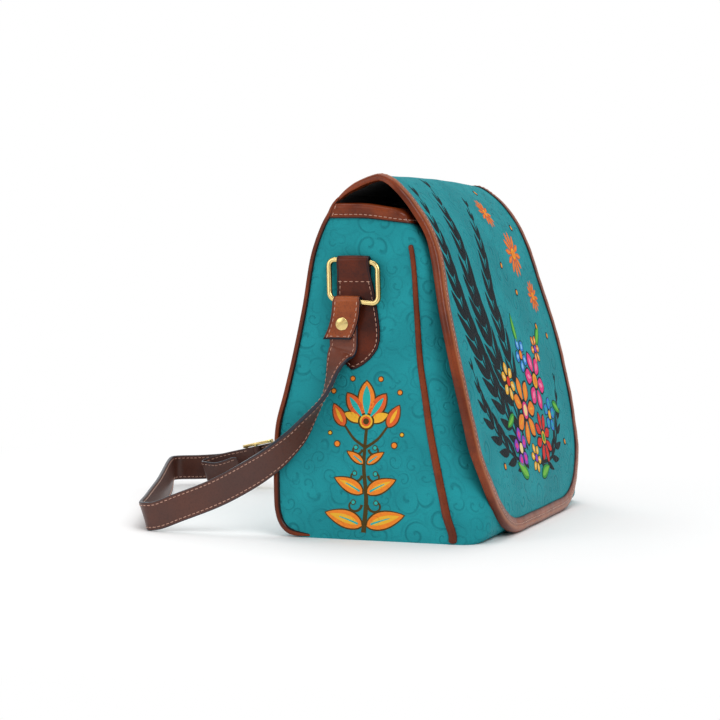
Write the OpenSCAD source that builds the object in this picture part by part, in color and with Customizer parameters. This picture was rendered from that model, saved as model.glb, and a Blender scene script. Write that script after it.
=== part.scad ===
// Saddle handbag: a boxy gusseted body, an arched overlapping flap and a shoulder strap that
// lies behind the bag. Millimetres, +Z up, the flap faces -Y, X = 0 is the middle plane.

/* [Body] */
// height of the body to the top of the mouth band
body_height = 218; // [205:1:232]
// depth of the gusset where it is widest
body_depth = 124; // [116:1:134]
// half the width of the body at its base
base_half = 128; // [122:0.5:136]
// half the width of the body at its mouth
mouth_half = 114; // [110:0.5:118]
// thickness of the outer panels
wall = 2.4; // [2:0.1:2.8]
// thickness of the lining cloth
lining = 0.8; // [0.6:0.1:1]
// width of the band folded over the mouth
band_width = 13; // [10:0.5:15]
// thickness of the band and of the flap's binding
band_skin = 1.2; // [1:0.1:1.4]
// radius of the cord in the two side seams
piping_radius = 2.4; // [1.8:0.1:2.8]

/* [Flap] */
// thickness of the flap's outer leather
flap_skin = 1.8; // [1.5:0.1:2]
// half the width of the flap where it is widest
flap_half = 132.2; // [128:0.1:138]
// width of the binding round the flap
binding_width = 8; // [6:0.5:10]
// thickness of the binding on either face of the flap
binding_skin = 0.8; // [0.6:0.1:0.9]
// play between the flap's root and the back panel
root_play = 0.3; // [0.25:0.05:0.4]

/* [Magnetic snap] */
// radius of both snap discs
snap_radius = 6.8; // [5:0.1:7]
// thickness of each disc
snap_disc = 0.7; // [0.5:0.05:0.8]
// height of the snap's centre
snap_height = 65.5; // [64:0.5:67]

/* [Tabs and rings] */
// radius of the ring wire
wire_radius = 1.65; // [1.4:0.05:1.9]
// width of a ring over its wire
ring_width = 37; // [35:0.5:40]
// distance between a ring's upper and lower bars
ring_drop = 26.5; // [25:0.5:28]
// radius of the ring corners at the wire's middle
ring_corner = 4.5; // [4:0.1:5]
// height of a ring's upper bar
ring_height = 180.5; // [176:0.5:184]
// place of the ring's middle, front to back
ring_y = 12; // [10:0.5:13]
// thickness of the tab leather
tab_skin = 1.6; // [1.4:0.1:1.8]
// width of the tab at the ring
tab_width = 22; // [20:0.5:23]
// height of the pointed lower end of the tab
tab_tip = 110; // [104:1:116]
// running play of a bar in its leather loop
loop_play = 0.05; // [0.04:0.01:0.06]

/* [Strap] */
// width of the shoulder strap
strap_width = 19; // [18:0.5:20]
// thickness of the shoulder strap
strap_thick = 2.6; // [2.2:0.1:2.8]
// thickness of the folded strap end's leather
end_skin = 2; // [1.8:0.1:2.2]
// gap between the strap's round end and the folded end's loop above it
pivot_gap = 1.1; // [0.8:0.1:1.6]
// place of the screws, front to back
pivot_y = 17.5; // [16.5:0.5:18.5]
// how far behind the bag's middle the strap reaches
strap_reach = 250; // [235:1:265]
// radius of the screw heads
screw_radius = 4.25; // [3.8:0.05:4.5]
// height of the screw heads
screw_head = 1.3; // [1.1:0.1:1.5]
// sideways play between strap and folded end
side_play = 0.3; // [0.25:0.05:0.35]

/* [Slider] */
// half the length of the slider along the strap
slider_half = 11; // [10:0.5:12]
// radius of the slider's bars
slider_bar = 1.3; // [1.1:0.05:1.4]
// length of the doubled strap tail
tail_length = 40; // [34:1:42]
// thickness of the tail leather
tail_skin = 1.4; // [1.2:0.1:1.6]

/* [Hidden] */
$fn = 48;
eps = 0.02;
quarter = 90;
half_turn = 180;
D = body_depth;
H = body_height;
lean = (base_half - mouth_half) / H;
lean_angle = atan(lean);
wall_top_share = 0.993;
// heights of the body's level lines above the base plate
level_share = [0.028, 0.078, 0.147, 0.25, 0.335, 0.43, 0.532, 0.69, 0.849, 0.9355, wall_top_share];
levels = concat([0, wall], [for (s = level_share) s * H]);
top_i = len(levels) - 1;
band_i = top_i - 1;
// places of the back, of the front and of the front seam at those levels
back_share = [0.315, 0.427, 0.468, 0.5, 0.508, 0.505, 0.5, 0.464, 0.427, 0.395, 0.355, 0.303, 0.25];
front_share = [-0.581, -0.613, -0.633, -0.635, -0.619, -0.573, -0.539, -0.5, -0.454, -0.385, -0.31,
  -0.2363, -0.1492];
seam_share = [-0.468, -0.468, -0.466, -0.435, -0.405, -0.363, -0.328, -0.295, -0.26, -0.23, -0.2,
              -0.157, -0.113];
round_share = 0.8;
round_steps = 6;
function half_at(z) = base_half - lean * z;
function yb(i) = back_share[i] * D;
function yf(i) = front_share[i] * D;
function yp(i) = seam_share[i] * D;
function inner_i(i) = i < 2 ? 0 : i;
function inner_z(i) = i < 2 ? 0 : levels[i];
function yb_in(i) = yb(inner_i(i)) - wall;
// one level line of gusset, front and gusset, moved outwards by off; back is the inset of its ends
function u_line(w, b, p, f, off) =
  let (r = round_share * (p - f))
  concat([[-(w + off), b], [-(w + off), p]],
         [for (k = [0 : round_steps]) let (a = half_turn + quarter * k / round_steps)
           [-(w - r) + (r + off) * cos(a), f + r + (r + off) * sin(a)]],
         [for (k = [0 : round_steps]) let (a = 3 * quarter + quarter * k / round_steps)
           [(w - r) + (r + off) * cos(a), f + r + (r + off) * sin(a)]],
         [[w + off, p], [w + off, b]]);
function at_z(line, z) = [for (p = line) [p.x, p.y, z]];
function outer_line(i, off) = u_line(half_at(levels[i]), yb_in(i), yp(i), yf(i), off);
function inner_line(i, off, back) =
  u_line(half_at(inner_z(i)), yb_in(i) - back, yp(inner_i(i)), yf(inner_i(i)), off - wall);
function cut(list, a, b) = [for (k = [a : b]) list[k]];
line_n = len(outer_line(0, 0));
function flat(list) = [for (a = list) for (b = a) b];
function unit(v) = v / norm(v);
function turned(c) = [for (f = c) [f[2], f[1], f[0]]];

// a sheet between two grids of points with the same rows and columns
module sheet(over, under) {
  n = len(over);
  m = len(over[0]);
  s = n * m;
  top = flat([for (i = [0 : n - 2]) for (j = [0 : m - 2])
    [[i * m + j, i * m + j + 1, (i + 1) * m + j], [i * m + j + 1, (i + 1) * m + j + 1, (i + 1) * m + j]]]);
  low = [for (t = turned(top)) [t[0] + s, t[1] + s, t[2] + s]];
  rim = concat([for (j = [0 : m - 1]) j], [for (i = [1 : n - 1]) i * m + m - 1],
               [for (j = [m - 2 : -1 : 0]) (n - 1) * m + j], [for (i = [n - 2 : -1 : 1]) i * m]);
  side = flat([for (k = [0 : len(rim) - 1]) let (a = rim[k], b = rim[(k + 1) % len(rim)])
    [[b, a, a + s], [b, a + s, b + s]]]);
  polyhedron(points = concat(flat(over), flat(under)), faces = concat(top, low, side), convexity = 10);
}

// closed rings joined into a solid, with flat ends
module loft(rings) {
  n = len(rings);
  m = len(rings[0]);
  wrap = flat([for (i = [0 : n - 2]) for (j = [0 : m - 1]) let (k = (j + 1) % m)
    [[i * m + j, (i + 1) * m + j, (i + 1) * m + k], [i * m + j, (i + 1) * m + k, i * m + k]]]);
  ends = [[for (j = [0 : m - 1]) j], [for (j = [m - 1 : -1 : 0]) (n - 1) * m + j]];
  polyhedron(points = flat(rings), faces = concat(wrap, ends), convexity = 10);
}

module mirrored(side) { if (side < 0) children(); else mirror([1, 0, 0]) children(); }
// a frame on the left gusset: outward is -X, up is +Z along the leaning side
module on_side() { translate([-base_half, 0, 0]) rotate([0, lean_angle, 0]) children(); }

// Body
module back_panel() {
  rise = H - levels[top_i] - root_play;
  rows = [for (i = [0 : top_i]) [[-half_at(levels[i]), yb(i), levels[i]],
                                 [half_at(levels[i]), yb(i), levels[i]]]];
  ins = [for (i = [0 : top_i]) [[-half_at(levels[i]), yb_in(i), levels[i]],
                                [half_at(levels[i]), yb_in(i), levels[i]]]];
  z = levels[top_i] + rise;
  more = [[[-half_at(z), yb(top_i), z], [half_at(z), yb(top_i), z]]];
  more_in = [[[-half_at(z), yb_in(top_i), z], [half_at(z), yb_in(top_i), z]]];
  color("teal") sheet(concat(ins, more_in), concat(rows, more));
}

module front_panel() {
  color("teal") sheet([for (i = [0 : top_i]) at_z(cut(outer_line(i, 0), 1, line_n - 2), levels[i])],
    [for (i = [0 : top_i]) at_z(cut(inner_line(i, 0, 0), 1, line_n - 2), levels[i])]);
}

module gusset() {
  sheet([for (i = [0 : top_i]) at_z(cut(outer_line(i, 0), 0, 1), levels[i])],
        [for (i = [0 : top_i]) at_z(cut(inner_line(i, 0, 0), 0, 1), levels[i])]);
}
module gusset_left() { color("teal") gusset(); }
module gusset_right() { color("teal") mirror([1, 0, 0]) gusset(); }

module base_panel() { color("teal") linear_extrude(wall) polygon(inner_line(0, 0, 0)); }

module base_board() {
  color("dimgray") loft([at_z(inner_line(1, -side_play, side_play), wall),
                         at_z(inner_line(2, -side_play, side_play), levels[2])]);
}

module body_lining() {
  color("black") loft(concat([for (i = [2 : top_i]) at_z(inner_line(i, 0, 0), levels[i])],
    [for (i = [top_i : -1 : 3]) at_z(inner_line(i, -lining, lining), levels[i])],
    [at_z(inner_line(2, -lining, lining), levels[2] + lining)]));
}

module mouth_band() {
  in = wall + lining;
  zt = levels[top_i];
  function pick(i, off, z) = at_z(u_line(half_at(z), yb_in(i) - lining - eps, yp(i), yf(i), off), z);
  legs = [pick(band_i, band_skin, levels[band_i]), pick(top_i, band_skin, zt), pick(top_i, band_skin, H),
          pick(top_i, -in - band_skin, H), pick(top_i, -in - band_skin, zt),
          pick(band_i, -in - band_skin, levels[band_i]), pick(band_i, -in, levels[band_i]),
          pick(top_i, -in, zt), pick(top_i, 0, zt), pick(band_i, 0, levels[band_i])];
  color("saddlebrown") loft([for (j = [0 : line_n - 1]) [for (leg = legs) leg[j]]]);
}

// cord round a vertical corner: three quarters of a circle about the corner line
module corner_cord(a, b) {
  n = 9;
  loft([for (i = [a : b]) let (c = [-half_at(levels[i]), yb(i), levels[i]])
    concat([c], [for (k = [0 : n]) let (t = 3 * quarter * k / n)
      c + piping_radius * [cos(t), sin(t), 0]])]);
}
module back_piping() {
  color("saddlebrown") {
    corner_cord(1, top_i);
    mirror([1, 0, 0]) corner_cord(1, top_i);
  }
}
module seam_cord(a, b) {
  n = 6;
  loft([for (i = [a : b]) let (c = [-half_at(levels[i]), yp(i), levels[i]])
    [for (k = [0 : n]) let (t = quarter + half_turn * k / n)
      c + piping_radius * [cos(t), sin(t), 0]]]);
}
module front_piping() {
  color("saddlebrown") {
    seam_cord(1, band_i - 1);
    mirror([1, 0, 0]) seam_cord(1, band_i - 1);
  }
}

// Flap
// outer line of the flap: place, height, and half width as shares
flap_share = [[0.2516, 1.0092, 0.855], [0.2306, 1.0248, 0.855], [0.1976, 1.0459, 0.856],
  [0.1492, 1.0679, 0.857], [0.0887, 1.0853, 0.858], [0.0242, 1.0945, 0.86], [-0.0323, 1.0872, 0.863],
  [-0.0919, 1.0617, 0.868], [-0.1452, 1.0367, 0.873], [-0.1911, 1.0071, 0.878], [-0.2409, 0.971, 0.884],
  [-0.2825, 0.9385, 0.889], [-0.3141, 0.8954, 0.895], [-0.3444, 0.8486, 0.912], [-0.3815, 0.789, 0.943],
  [-0.421, 0.6789, 0.986], [-0.4556, 0.6009, 0.997], [-0.4944, 0.5138, 1], [-0.5371, 0.4266, 1],
  [-0.571, 0.356, 0.996], [-0.6089, 0.2663, 0.976], [-0.6419, 0.1931, 0.927], [-0.6637, 0.1106, 0.822],
  [-0.6742, 0.055, 0.71], [-0.6798, 0.0266, 0.607], [-0.6823, 0.0128, 0.49]];
flap_n = len(flap_share);
function fp(i) = [flap_share[i].x * D, flap_share[i].y * H];
function fw(i) = flap_share[i].z * flap_half;
function fdir(i) = unit(fp(min(i + 1, flap_n - 1)) - fp(max(i - 1, 0)));
function fnorm(i) = [fdir(i).y, -fdir(i).x];
function fpos(x, i, h) = let (q = fp(i) + h * fnorm(i)) [x, q.x, q.y];
// the same for a place between two lines of the flap
function fmix(x, u, h) = let (i = min(floor(u), flap_n - 2), t = u - i)
  fpos(x, i, h) * (1 - t) + fpos(x, i + 1, h) * t;
flap_total = flap_skin + lining;
module flap_layer(h0, h1) {
  sheet([for (i = [0 : flap_n - 1]) [fpos(-fw(i), i, -h0), fpos(fw(i), i, -h0)]],
        [for (i = [0 : flap_n - 1]) [fpos(-fw(i), i, -h1), fpos(fw(i), i, -h1)]]);
}
module flap_panel() { color("teal") flap_layer(0, flap_skin); }
module flap_lining() { color("black") flap_layer(flap_skin, flap_total); }

// running length of the flap line, to find its inset edge
run = [for (i = [0 : flap_n - 1]) i == 0 ? 0 : norm(fp(i) - fp(i - 1))];
function added(i) = i == 0 ? 0 : added(i - 1) + run[i];
track = [for (i = [0 : flap_n - 1]) added(i)];
function to_u(s) = let (c = min(max(s, 0), track[flap_n - 1]),
  k = max([for (i = [0 : flap_n - 2]) track[i] <= c ? i : 0])) k + (c - track[k]) / run[k + 1];
bind_from = 2;
edge = concat([for (i = [bind_from : flap_n - 1]) [-fw(i), track[i]]],
              [for (i = [flap_n - 1 : -1 : bind_from]) [fw(i), track[i]]]);
edge_n = len(edge);
function edge_out(j) = let (d = unit(edge[min(j + 1, edge_n - 1)] - edge[max(j - 1, 0)])) [-d.y, d.x];
function edge_at(j, off, h) = let (q = edge[j] + off * edge_out(j), over = max(q.y - track[flap_n - 1], 0),
  p = fmix(q.x, to_u(q.y), h), d = fdir(flap_n - 1)) p + over * [0, d.x, d.y];
module flap_binding() {
  gap = side_play / 2;
  up = gap + binding_skin;
  dn = flap_total + gap;
  color("saddlebrown") loft([for (j = [0 : edge_n - 1]) [
    edge_at(j, binding_skin, up), edge_at(j, -binding_width, up), edge_at(j, -binding_width, gap),
    edge_at(j, gap, gap), edge_at(j, gap, -dn), edge_at(j, -binding_width, -dn),
    edge_at(j, -binding_width, -dn - binding_skin), edge_at(j, binding_skin, -dn - binding_skin)]]);
}

// Snap
function seg_y(a, b, z) = a.x + (b.x - a.x) * (z - a.y) / (b.y - a.y);
snap_a = [yf(5), levels[5]];
snap_b = [yf(6), levels[6]];
snap_front_tilt = atan((snap_b.x - snap_a.x) / (snap_b.y - snap_a.y));
snap_line = 20;
snap_c = fp(snap_line);
snap_d = fp(snap_line - 1);
snap_flap_tilt = atan((snap_d.x - snap_c.x) / (snap_d.y - snap_c.y));
module snap_socket() {
  color("goldenrod") translate([0, seg_y(snap_a, snap_b, snap_height), snap_height])
    rotate([quarter - snap_front_tilt, 0, 0]) difference() {
      cylinder(h = snap_disc, r = snap_radius);
      translate([0, 0, snap_disc / 2]) cylinder(h = snap_disc, r = snap_radius / 3);
    }
}
module snap_stud() {
  color("goldenrod") translate([0, seg_y(snap_c, snap_d, snap_height), snap_height])
    rotate([-quarter - snap_flap_tilt, 0, 0]) translate([0, 0, flap_total])
      cylinder(h = snap_disc, r = snap_radius);
}

// Tabs, rings and folded ends
loop_in = wire_radius + loop_play;
tab_loop = loop_in + tab_skin;
end_loop = loop_in + end_skin;
low_z = ring_height - ring_drop;
up_x = half_at(ring_height) + tab_loop + eps;
low_x = half_at(low_z) + tab_skin + side_play + end_loop;
ring_lean = asin((low_x - up_x) / ring_drop);
low_bar_z = ring_height - ring_drop * cos(ring_lean);
hw = strap_width / 2;
pivot_height = low_bar_z - end_loop - hw - pivot_gap;
end_out = low_x + end_loop;
end_in = end_out - end_skin;
strap_x = end_in - side_play - strap_thick / 2;
// outline of the tab: height, and reach to the front and to the back, as shares
tab_share = [[0, 0.04, 0], [0.045, 0.327, 0.2], [0.11, 0.573, 0.39], [0.191, 0.764, 0.482],
  [0.273, 0.836, 0.527], [0.393, 0.827, 0.545], [0.563, 0.736, 0.545], [0.662, 0.673, 0.536],
  [0.818, 0.573, 0.518], [0.917, 0.5, 0.5], [1.05, 0.5, 0.5]];
tab_n = len(tab_share);
module tab() {
  s_bar = ring_height / cos(lean_angle);
  s_tip = tab_tip / cos(lean_angle);
  s_sew = s_bar - 4 * tab_loop;
  bx = (up_x - half_at(ring_height)) * cos(lean_angle);
  s_fix = s_bar - (up_x - half_at(ring_height)) * sin(lean_angle);
  span = s_bar - s_tip;
  on_side() intersection() {
    translate([0, ring_y + tab_width, 0]) rotate([quarter, 0, 0]) linear_extrude(2 * tab_width)
      difference() {
        polygon(concat([[0, s_tip], [-tab_skin, s_tip], [-tab_skin, s_sew]],
          [for (k = [0 : round_steps]) let (a = half_turn - quarter * k / round_steps)
            [-bx + tab_loop * cos(a), s_fix + tab_loop * sin(a)]], [[0, s_fix + tab_loop]]));
        translate([-bx, s_fix]) circle(loop_in);
      }
    translate([-4 * tab_loop, ring_y, 0]) rotate([quarter, 0, quarter]) linear_extrude(2 * 4 * tab_loop)
      polygon(concat([for (p = tab_share) [p.z * tab_width, s_tip + p.x * span]],
        [for (k = [tab_n - 1 : -1 : 0]) let (p = tab_share[k]) [-p.y * tab_width, s_tip + p.x * span]]));
  }
}
module tab_left() { color("saddlebrown") mirrored(-1) tab(); }
module tab_right() { color("saddlebrown") mirrored(1) tab(); }

module rod(l) { rotate([-quarter, 0, 0]) cylinder(h = l, r = wire_radius); }
module bend(a) {
  rotate([0, quarter, 0]) rotate([0, 0, a]) rotate_extrude(angle = quarter)
    translate([ring_corner, 0]) circle(wire_radius);
}
module ring() {
  hw = ring_width / 2 - wire_radius;
  sy = hw - ring_corner;
  translate([-up_x, ring_y, ring_height]) rotate([0, ring_lean, 0]) {
    translate([0, -sy, 0]) rod(2 * sy);
    translate([0, -sy, -ring_drop]) rod(2 * sy);
    for (s = [-1, 1]) translate([0, s * hw, -ring_drop + ring_corner])
      cylinder(h = ring_drop - 2 * ring_corner, r = wire_radius);
    translate([0, sy, -ring_corner]) bend(quarter);
    translate([0, -sy, -ring_corner]) bend(half_turn);
    translate([0, sy, ring_corner - ring_drop]) bend(0);
    translate([0, -sy, ring_corner - ring_drop]) bend(-quarter);
  }
}
module ring_left() { color("gold") mirrored(-1) ring(); }
module ring_right() { color("gold") mirrored(1) ring(); }

// the folded end hangs on the lower bar and slants back to the screw
end_y = (ring_y + pivot_y) / 2;
end_below = 10;
end_slant_share = 0.4;
module strap_end() {
  drop = low_bar_z - pivot_height + end_below;
  slant = end_slant_share * (pivot_y - ring_y) * 2;
  translate([-low_x, 0, low_bar_z]) difference() {
    union() {
      translate([0, end_y - strap_width / 2, 0]) rotate([-quarter, 0, 0])
        cylinder(h = strap_width, r = end_loop);
      translate([-end_loop, 0, 0]) rotate([quarter, 0, quarter]) linear_extrude(end_skin)
        polygon([[end_y - strap_width / 2, 0], [end_y + strap_width / 2, 0],
                 [end_y + strap_width / 2 + slant, -drop], [end_y - strap_width / 2 + slant, -drop]]);
    }
    translate([0, end_y - strap_width, 0]) rotate([-quarter, 0, 0])
      cylinder(h = 2 * strap_width, r = loop_in);
  }
}
module strap_end_left() { color("saddlebrown") mirrored(-1) strap_end(); }
module strap_end_right() { color("saddlebrown") mirrored(1) strap_end(); }

module screw() {
  translate([-end_out, pivot_y, pivot_height]) rotate([0, -quarter, 0]) difference() {
    cylinder(h = screw_head, r = screw_radius);
    translate([-screw_radius, -screw_head / 2, screw_head / 2])
      cube([2 * screw_radius, screw_head, screw_head]);
  }
}
module screw_left() { color("gold") mirrored(-1) screw(); }
module screw_right() { color("gold") mirrored(1) screw(); }

// Strap
// near stations: way out from the side in half widths, reach and height as shares, and the roll
// cross stations: side, reach and height as shares, the heading and the roll
// far stations: reach and height as shares, and the share of the side's line. Turns are in quarters.
near_share = [[0, 0, 1, 0], [0, 0, 0.9143, 0], [-0.008, 0.0002, 0.8857, 0.044],
  [0.28, 0.0086, 0.8529, 0.278], [0.493, 0.0168, 0.8114, 0.478], [0.589, 0.0232, 0.77, 0.6],
  [0.638, 0.0297, 0.725, 0.678], [0.701, 0.0391, 0.6786, 0.778], [0.719, 0.0572, 0.63, 0.889],
  [0.696, 0.0834, 0.5679, 1.056], [0.625, 0.1226, 0.4786, 1.311], [0.525, 0.1647, 0.41, 1.489],
  [0.425, 0.2043, 0.3564, 1.633], [0.238, 0.2791, 0.2764, 1.856], [0.066, 0.372, 0.195, 1.989],
  [-0.072, 0.4916, 0.1157, 2], [-0.127, 0.5484, 0.0786, 2]];
cross_share = [[-1.0461, 0.602, 0.0707, 0.93, 2], [-1.0359, 0.6168, 0.0696, 0.72, 1.93],
  [-1.0125, 0.628, 0.0686, 0.48, 1.85], [-0.9766, 0.6368, 0.0679, 0.31, 1.78],
  [-0.8984, 0.6516, 0.0671, 0.24, 1.73], [-0.7031, 0.6864, 0.0671, 0.235, 1.73],
  [-0.3906, 0.744, 0.0693, 0.235, 1.75], [0, 0.816, 0.0743, 0.235, 1.78],
  [0.3906, 0.892, 0.0829, 0.235, 1.81], [0.6641, 0.948, 0.09, 0.235, 1.88],
  [0.7891, 0.9728, 0.0943, 0.2, 1.94], [0.8555, 0.9836, 0.0964, 0.08, 1.97],
  [0.8969, 0.9824, 0.0971, -0.2, 2], [0.9219, 0.968, 0.0979, -0.55, 2],
  [0.9297, 0.946, 0.0993, -0.85, 2], [0.9297, 0.9144, 0.1021, -1, 2], [0.9297, 0.868, 0.1086, -1, 2]];
far_share = [[0.8108, 0.11754, 0], [0.486, 0.243, 0], [0.406, 0.284, 0.4], [0.322, 0.343, 0.82],
  [0.243, 0.421, 1], [0.174, 0.514, 1], [0.114, 0.621, 1], [0.067, 0.729, 1],
  [0.032, 0.836, 1], [0.009, 0.921, 1], [0, 1, 1]];
span_y = strap_reach - pivot_y;
near_lean = 1.557 * lean;
far_x = 119 / 128 * base_half;
function side_x(z) = strap_x + max(0, 0.9 * pivot_height - z) * near_lean;
function near_at(p) = let (z = p[2] * pivot_height)
  [[-side_x(z) - p[0] * hw, pivot_y + p[1] * span_y, z], 1, p[3]];
function cross_at(p) = [[p[0] * base_half, p[1] * strap_reach, p[2] * pivot_height], p[3], p[4]];
function far_at(p) = let (z = p.y * pivot_height)
  [[far_x + (side_x(z) - far_x) * p.z, pivot_y + p.x * span_y, z], -1, 2];
stations = concat([for (p = near_share) near_at(p)], [for (p = cross_share) cross_at(p)],
                  [for (p = far_share) far_at(p)]);
st_n = len(stations);
end_steps = [80, 60, 40, 20];
function tang(i) = unit(stations[min(i + 1, st_n - 1)][0] - stations[max(i - 1, 0)][0]);
// width and face directions on the path's line t, turned by the heading q and rolled about t by r
function frame_at(t, q, r) = let (h = q * quarter, n0 = [-sin(h), cos(h), 0], w = unit(cross(t, n0)),
    n = unit(cross(w, t)), a = r * quarter) [w * cos(a) - n * sin(a), n * cos(a) + w * sin(a)];
function section(c, f, w) = [c + f[0] * w + f[1] * strap_thick / 2, c - f[0] * w + f[1] * strap_thick / 2,
  c - f[0] * w - f[1] * strap_thick / 2, c + f[0] * w - f[1] * strap_thick / 2];
down = [0, 0, -1];
module strap() {
  a = stations[0][0];
  b = stations[st_n - 1][0];
  first = [for (s = end_steps) section(a - down * hw * sin(s), frame_at(down, 1, 0), hw * cos(s))];
  last = [for (k = [len(end_steps) - 1 : -1 : 0]) let (s = end_steps[k])
    section(b - down * hw * sin(s), frame_at(-down, -1, 2), hw * cos(s))];
  mid = [for (i = [0 : st_n - 1]) let (t = i == 0 ? down : i == st_n - 1 ? -down : tang(i))
    section(stations[i][0], frame_at(t, stations[i][1], stations[i][2]), hw)];
  color("sienna") loft(concat(first, mid, last));
}

// Slider and doubled tail, on the straight far run
run_a = far_at(far_share[0])[0];
run_b = far_at(far_share[1])[0];
run_angle = atan((run_b.z - run_a.z) / (run_a.y - run_b.y));
slide_share = 0.41533;
slide_at = run_a + (run_b - run_a) * slide_share;
tail_in = slider_bar + loop_play;
tail_loop = tail_in + tail_skin;
bar_off = strap_thick / 2 + side_play + tail_loop;
back_off = strap_thick / 2 + side_play + slider_bar;
rail_off = hw + side_play;
rail_thick = 2 * slider_bar;
// local: +Y runs to the far corner, +Z across the strap, -X to the bag's middle
module on_run() { translate(slide_at) rotate([-run_angle, 0, 0]) children(); }
module across(l) { translate([0, 0, -l / 2]) cylinder(h = l, r = slider_bar); }
module slider() {
  color("gold") on_run() {
    for (s = [-1, 1]) translate([-bar_off - slider_bar, -slider_half - slider_bar,
        s * (rail_off + rail_thick / 2) - rail_thick / 2])
      cube([bar_off + back_off + 2 * slider_bar, 2 * (slider_half + slider_bar), rail_thick]);
    translate([-bar_off, 0, 0]) across(2 * rail_off + rail_thick);
    for (s = [-1, 1]) translate([back_off, s * slider_half, 0]) across(2 * rail_off + rail_thick);
  }
}
module strap_tail() {
  tw = 2 * (rail_off - side_play);
  near = strap_thick / 2 + side_play;
  bight = tail_skin + 1.6 * tail_skin;
  color("sienna") on_run() translate([0, 0, -tw / 2]) linear_extrude(tw) difference() {
    union() {
      translate([-bar_off, 0]) circle(tail_loop);
      translate([-near - tail_skin, 0]) square([tail_skin, tail_length]);
      translate([-near - bight, tail_length]) intersection() {
        difference() {
          circle(bight);
          circle(bight - tail_skin);
        }
        translate([-2 * bight, 0]) square([4 * bight, 2 * bight]);
      }
      translate([-near - 2 * bight, tail_length / 3]) square([tail_skin, 2 * tail_length / 3]);
    }
    translate([-bar_off, 0]) circle(tail_in);
  }
}

back_panel();
front_panel();
gusset_left();
gusset_right();
base_panel();
base_board();
body_lining();
mouth_band();
back_piping();
front_piping();
tab_left();
tab_right();
snap_socket();
flap_panel();
flap_lining();
flap_binding();
snap_stud();
ring_left();
strap_end_left();
screw_left();
ring_right();
strap_end_right();
screw_right();
strap();
slider();
strap_tail();
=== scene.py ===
"""Saddle handbag, dressed around its CAD frame. Metres, +Z up, the flap faces -Y."""
import math

import bmesh
import bpy
import numpy as np
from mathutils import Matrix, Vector, geometry


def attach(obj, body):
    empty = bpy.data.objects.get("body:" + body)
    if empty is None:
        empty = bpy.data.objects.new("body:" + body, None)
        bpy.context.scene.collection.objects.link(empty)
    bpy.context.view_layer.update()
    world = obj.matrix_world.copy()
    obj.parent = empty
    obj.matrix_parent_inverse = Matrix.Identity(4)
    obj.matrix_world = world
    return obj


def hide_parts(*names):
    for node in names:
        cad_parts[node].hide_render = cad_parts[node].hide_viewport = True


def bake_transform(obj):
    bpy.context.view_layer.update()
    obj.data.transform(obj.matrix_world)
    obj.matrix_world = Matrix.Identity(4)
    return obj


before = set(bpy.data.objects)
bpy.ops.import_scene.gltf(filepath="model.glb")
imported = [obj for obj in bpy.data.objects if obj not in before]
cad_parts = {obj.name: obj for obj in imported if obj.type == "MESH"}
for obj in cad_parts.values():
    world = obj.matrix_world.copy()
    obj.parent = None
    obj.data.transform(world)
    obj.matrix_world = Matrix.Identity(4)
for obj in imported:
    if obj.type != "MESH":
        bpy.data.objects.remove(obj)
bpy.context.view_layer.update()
MM = 0.001
CM = 0.1  # UV maps are in cm

# Sizes, in mm
BASE_HALF, MOUTH_HALF, BODY_HEIGHT = 128.0, 114.0, 218.0
LEAN = (BASE_HALF - MOUTH_HALF) / BODY_HEIGHT
WALL = 2.4
# Heights of the body's levels, and where its back, front and side seams lie at each
LEVELS = [0, 2.4, 6.1, 17.0, 32.0, 54.5, 73.0, 93.7, 116.0, 150.4, 185.1, 203.9, 216.5]
BACK_Y = [39.1, 52.9, 58.0, 62.0, 63.3, 63.8, 63.0, 58.0, 53.0, 46.4, 41.0, 34.4, 27.6]
FRONT_Y = [-72.0, -76.0, -78.5, -78.7, -76.8, -71.1, -66.8, -62.0, -56.3, -47.7, -38.4, -29.3, -18.5]
SEAM_Y = [-58.0, -58.0, -57.8, -53.9, -50.2, -45.0, -41.0, -37.5, -33.7, -30.4, -26.7, -21.4, -15.9]
PIPING = 1.7
# Down the middle of the flap's outer face: y, z and its half width
FLAP_LINE = [(26.6, 219.4, 113.0), (24.3, 222.1, 113.0), (19.0, 227.1, 113.2), (11.4, 231.5, 113.4),
             (3.6, 234.5, 113.7), (-4.2, 235.9, 114.1), (-10.6, 233.6, 114.7), (-17.6, 227.9, 115.4),
             (-24.6, 220.1, 115.4), (-30.4, 212.0, 115.3), (-35.2, 204.6, 115.0), (-39.1, 196.9, 115.2),
             (-42.5, 188.4, 116.3), (-45.3, 179.2, 118.5), (-47.9, 168.7, 121.6), (-53.0, 148.0, 127.4),
             (-57.6, 131.0, 130.5), (-62.3, 112.0, 132.2), (-66.8, 93.0, 132.2), (-70.3, 77.6, 131.7),
             (-74.2, 58.06, 129.0), (-77.9, 42.1, 122.5), (-80.9, 24.1, 108.7), (-82.4, 12.0, 93.9),
             (-83.3, 5.8, 80.2), (-83.7, 2.8, 64.8)]
FLAP_SKIN, FLAP_TOTAL = 1.8, 2.6
BINDING, TURN_OUT = 8.0, 0.45
WIRE = 1.65
RING_Y, RING_Z, RING_DROP, RING_WIDTH, RING_CORNER = 12.0, 180.5, 26.5, 37.0, 4.5
UP_X, LOW_X = 119.73, 123.71
RING_LEAN = math.asin((LOW_X - UP_X) / RING_DROP)
LOW_Z = RING_Z - RING_DROP * math.cos(RING_LEAN)
TAB_SKIN, TAB_HALF, TAB_TIP = 1.6, 11.0, 110.0
STRAP_W, STRAP_T, END_SKIN = 19.0, 2.6, 2.0
LOOP_PLAY, STRAP_PLAY = 0.05, 0.3
END_OUT = LOW_X + WIRE + LOOP_PLAY + END_SKIN
STRAP_X = END_OUT - END_SKIN - STRAP_PLAY - STRAP_T / 2
PIVOT_Y, PIVOT_Z = 17.5, 140.0


def half_at(z):
    """Half the body's width at a height."""
    return BASE_HALF - LEAN * z


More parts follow.
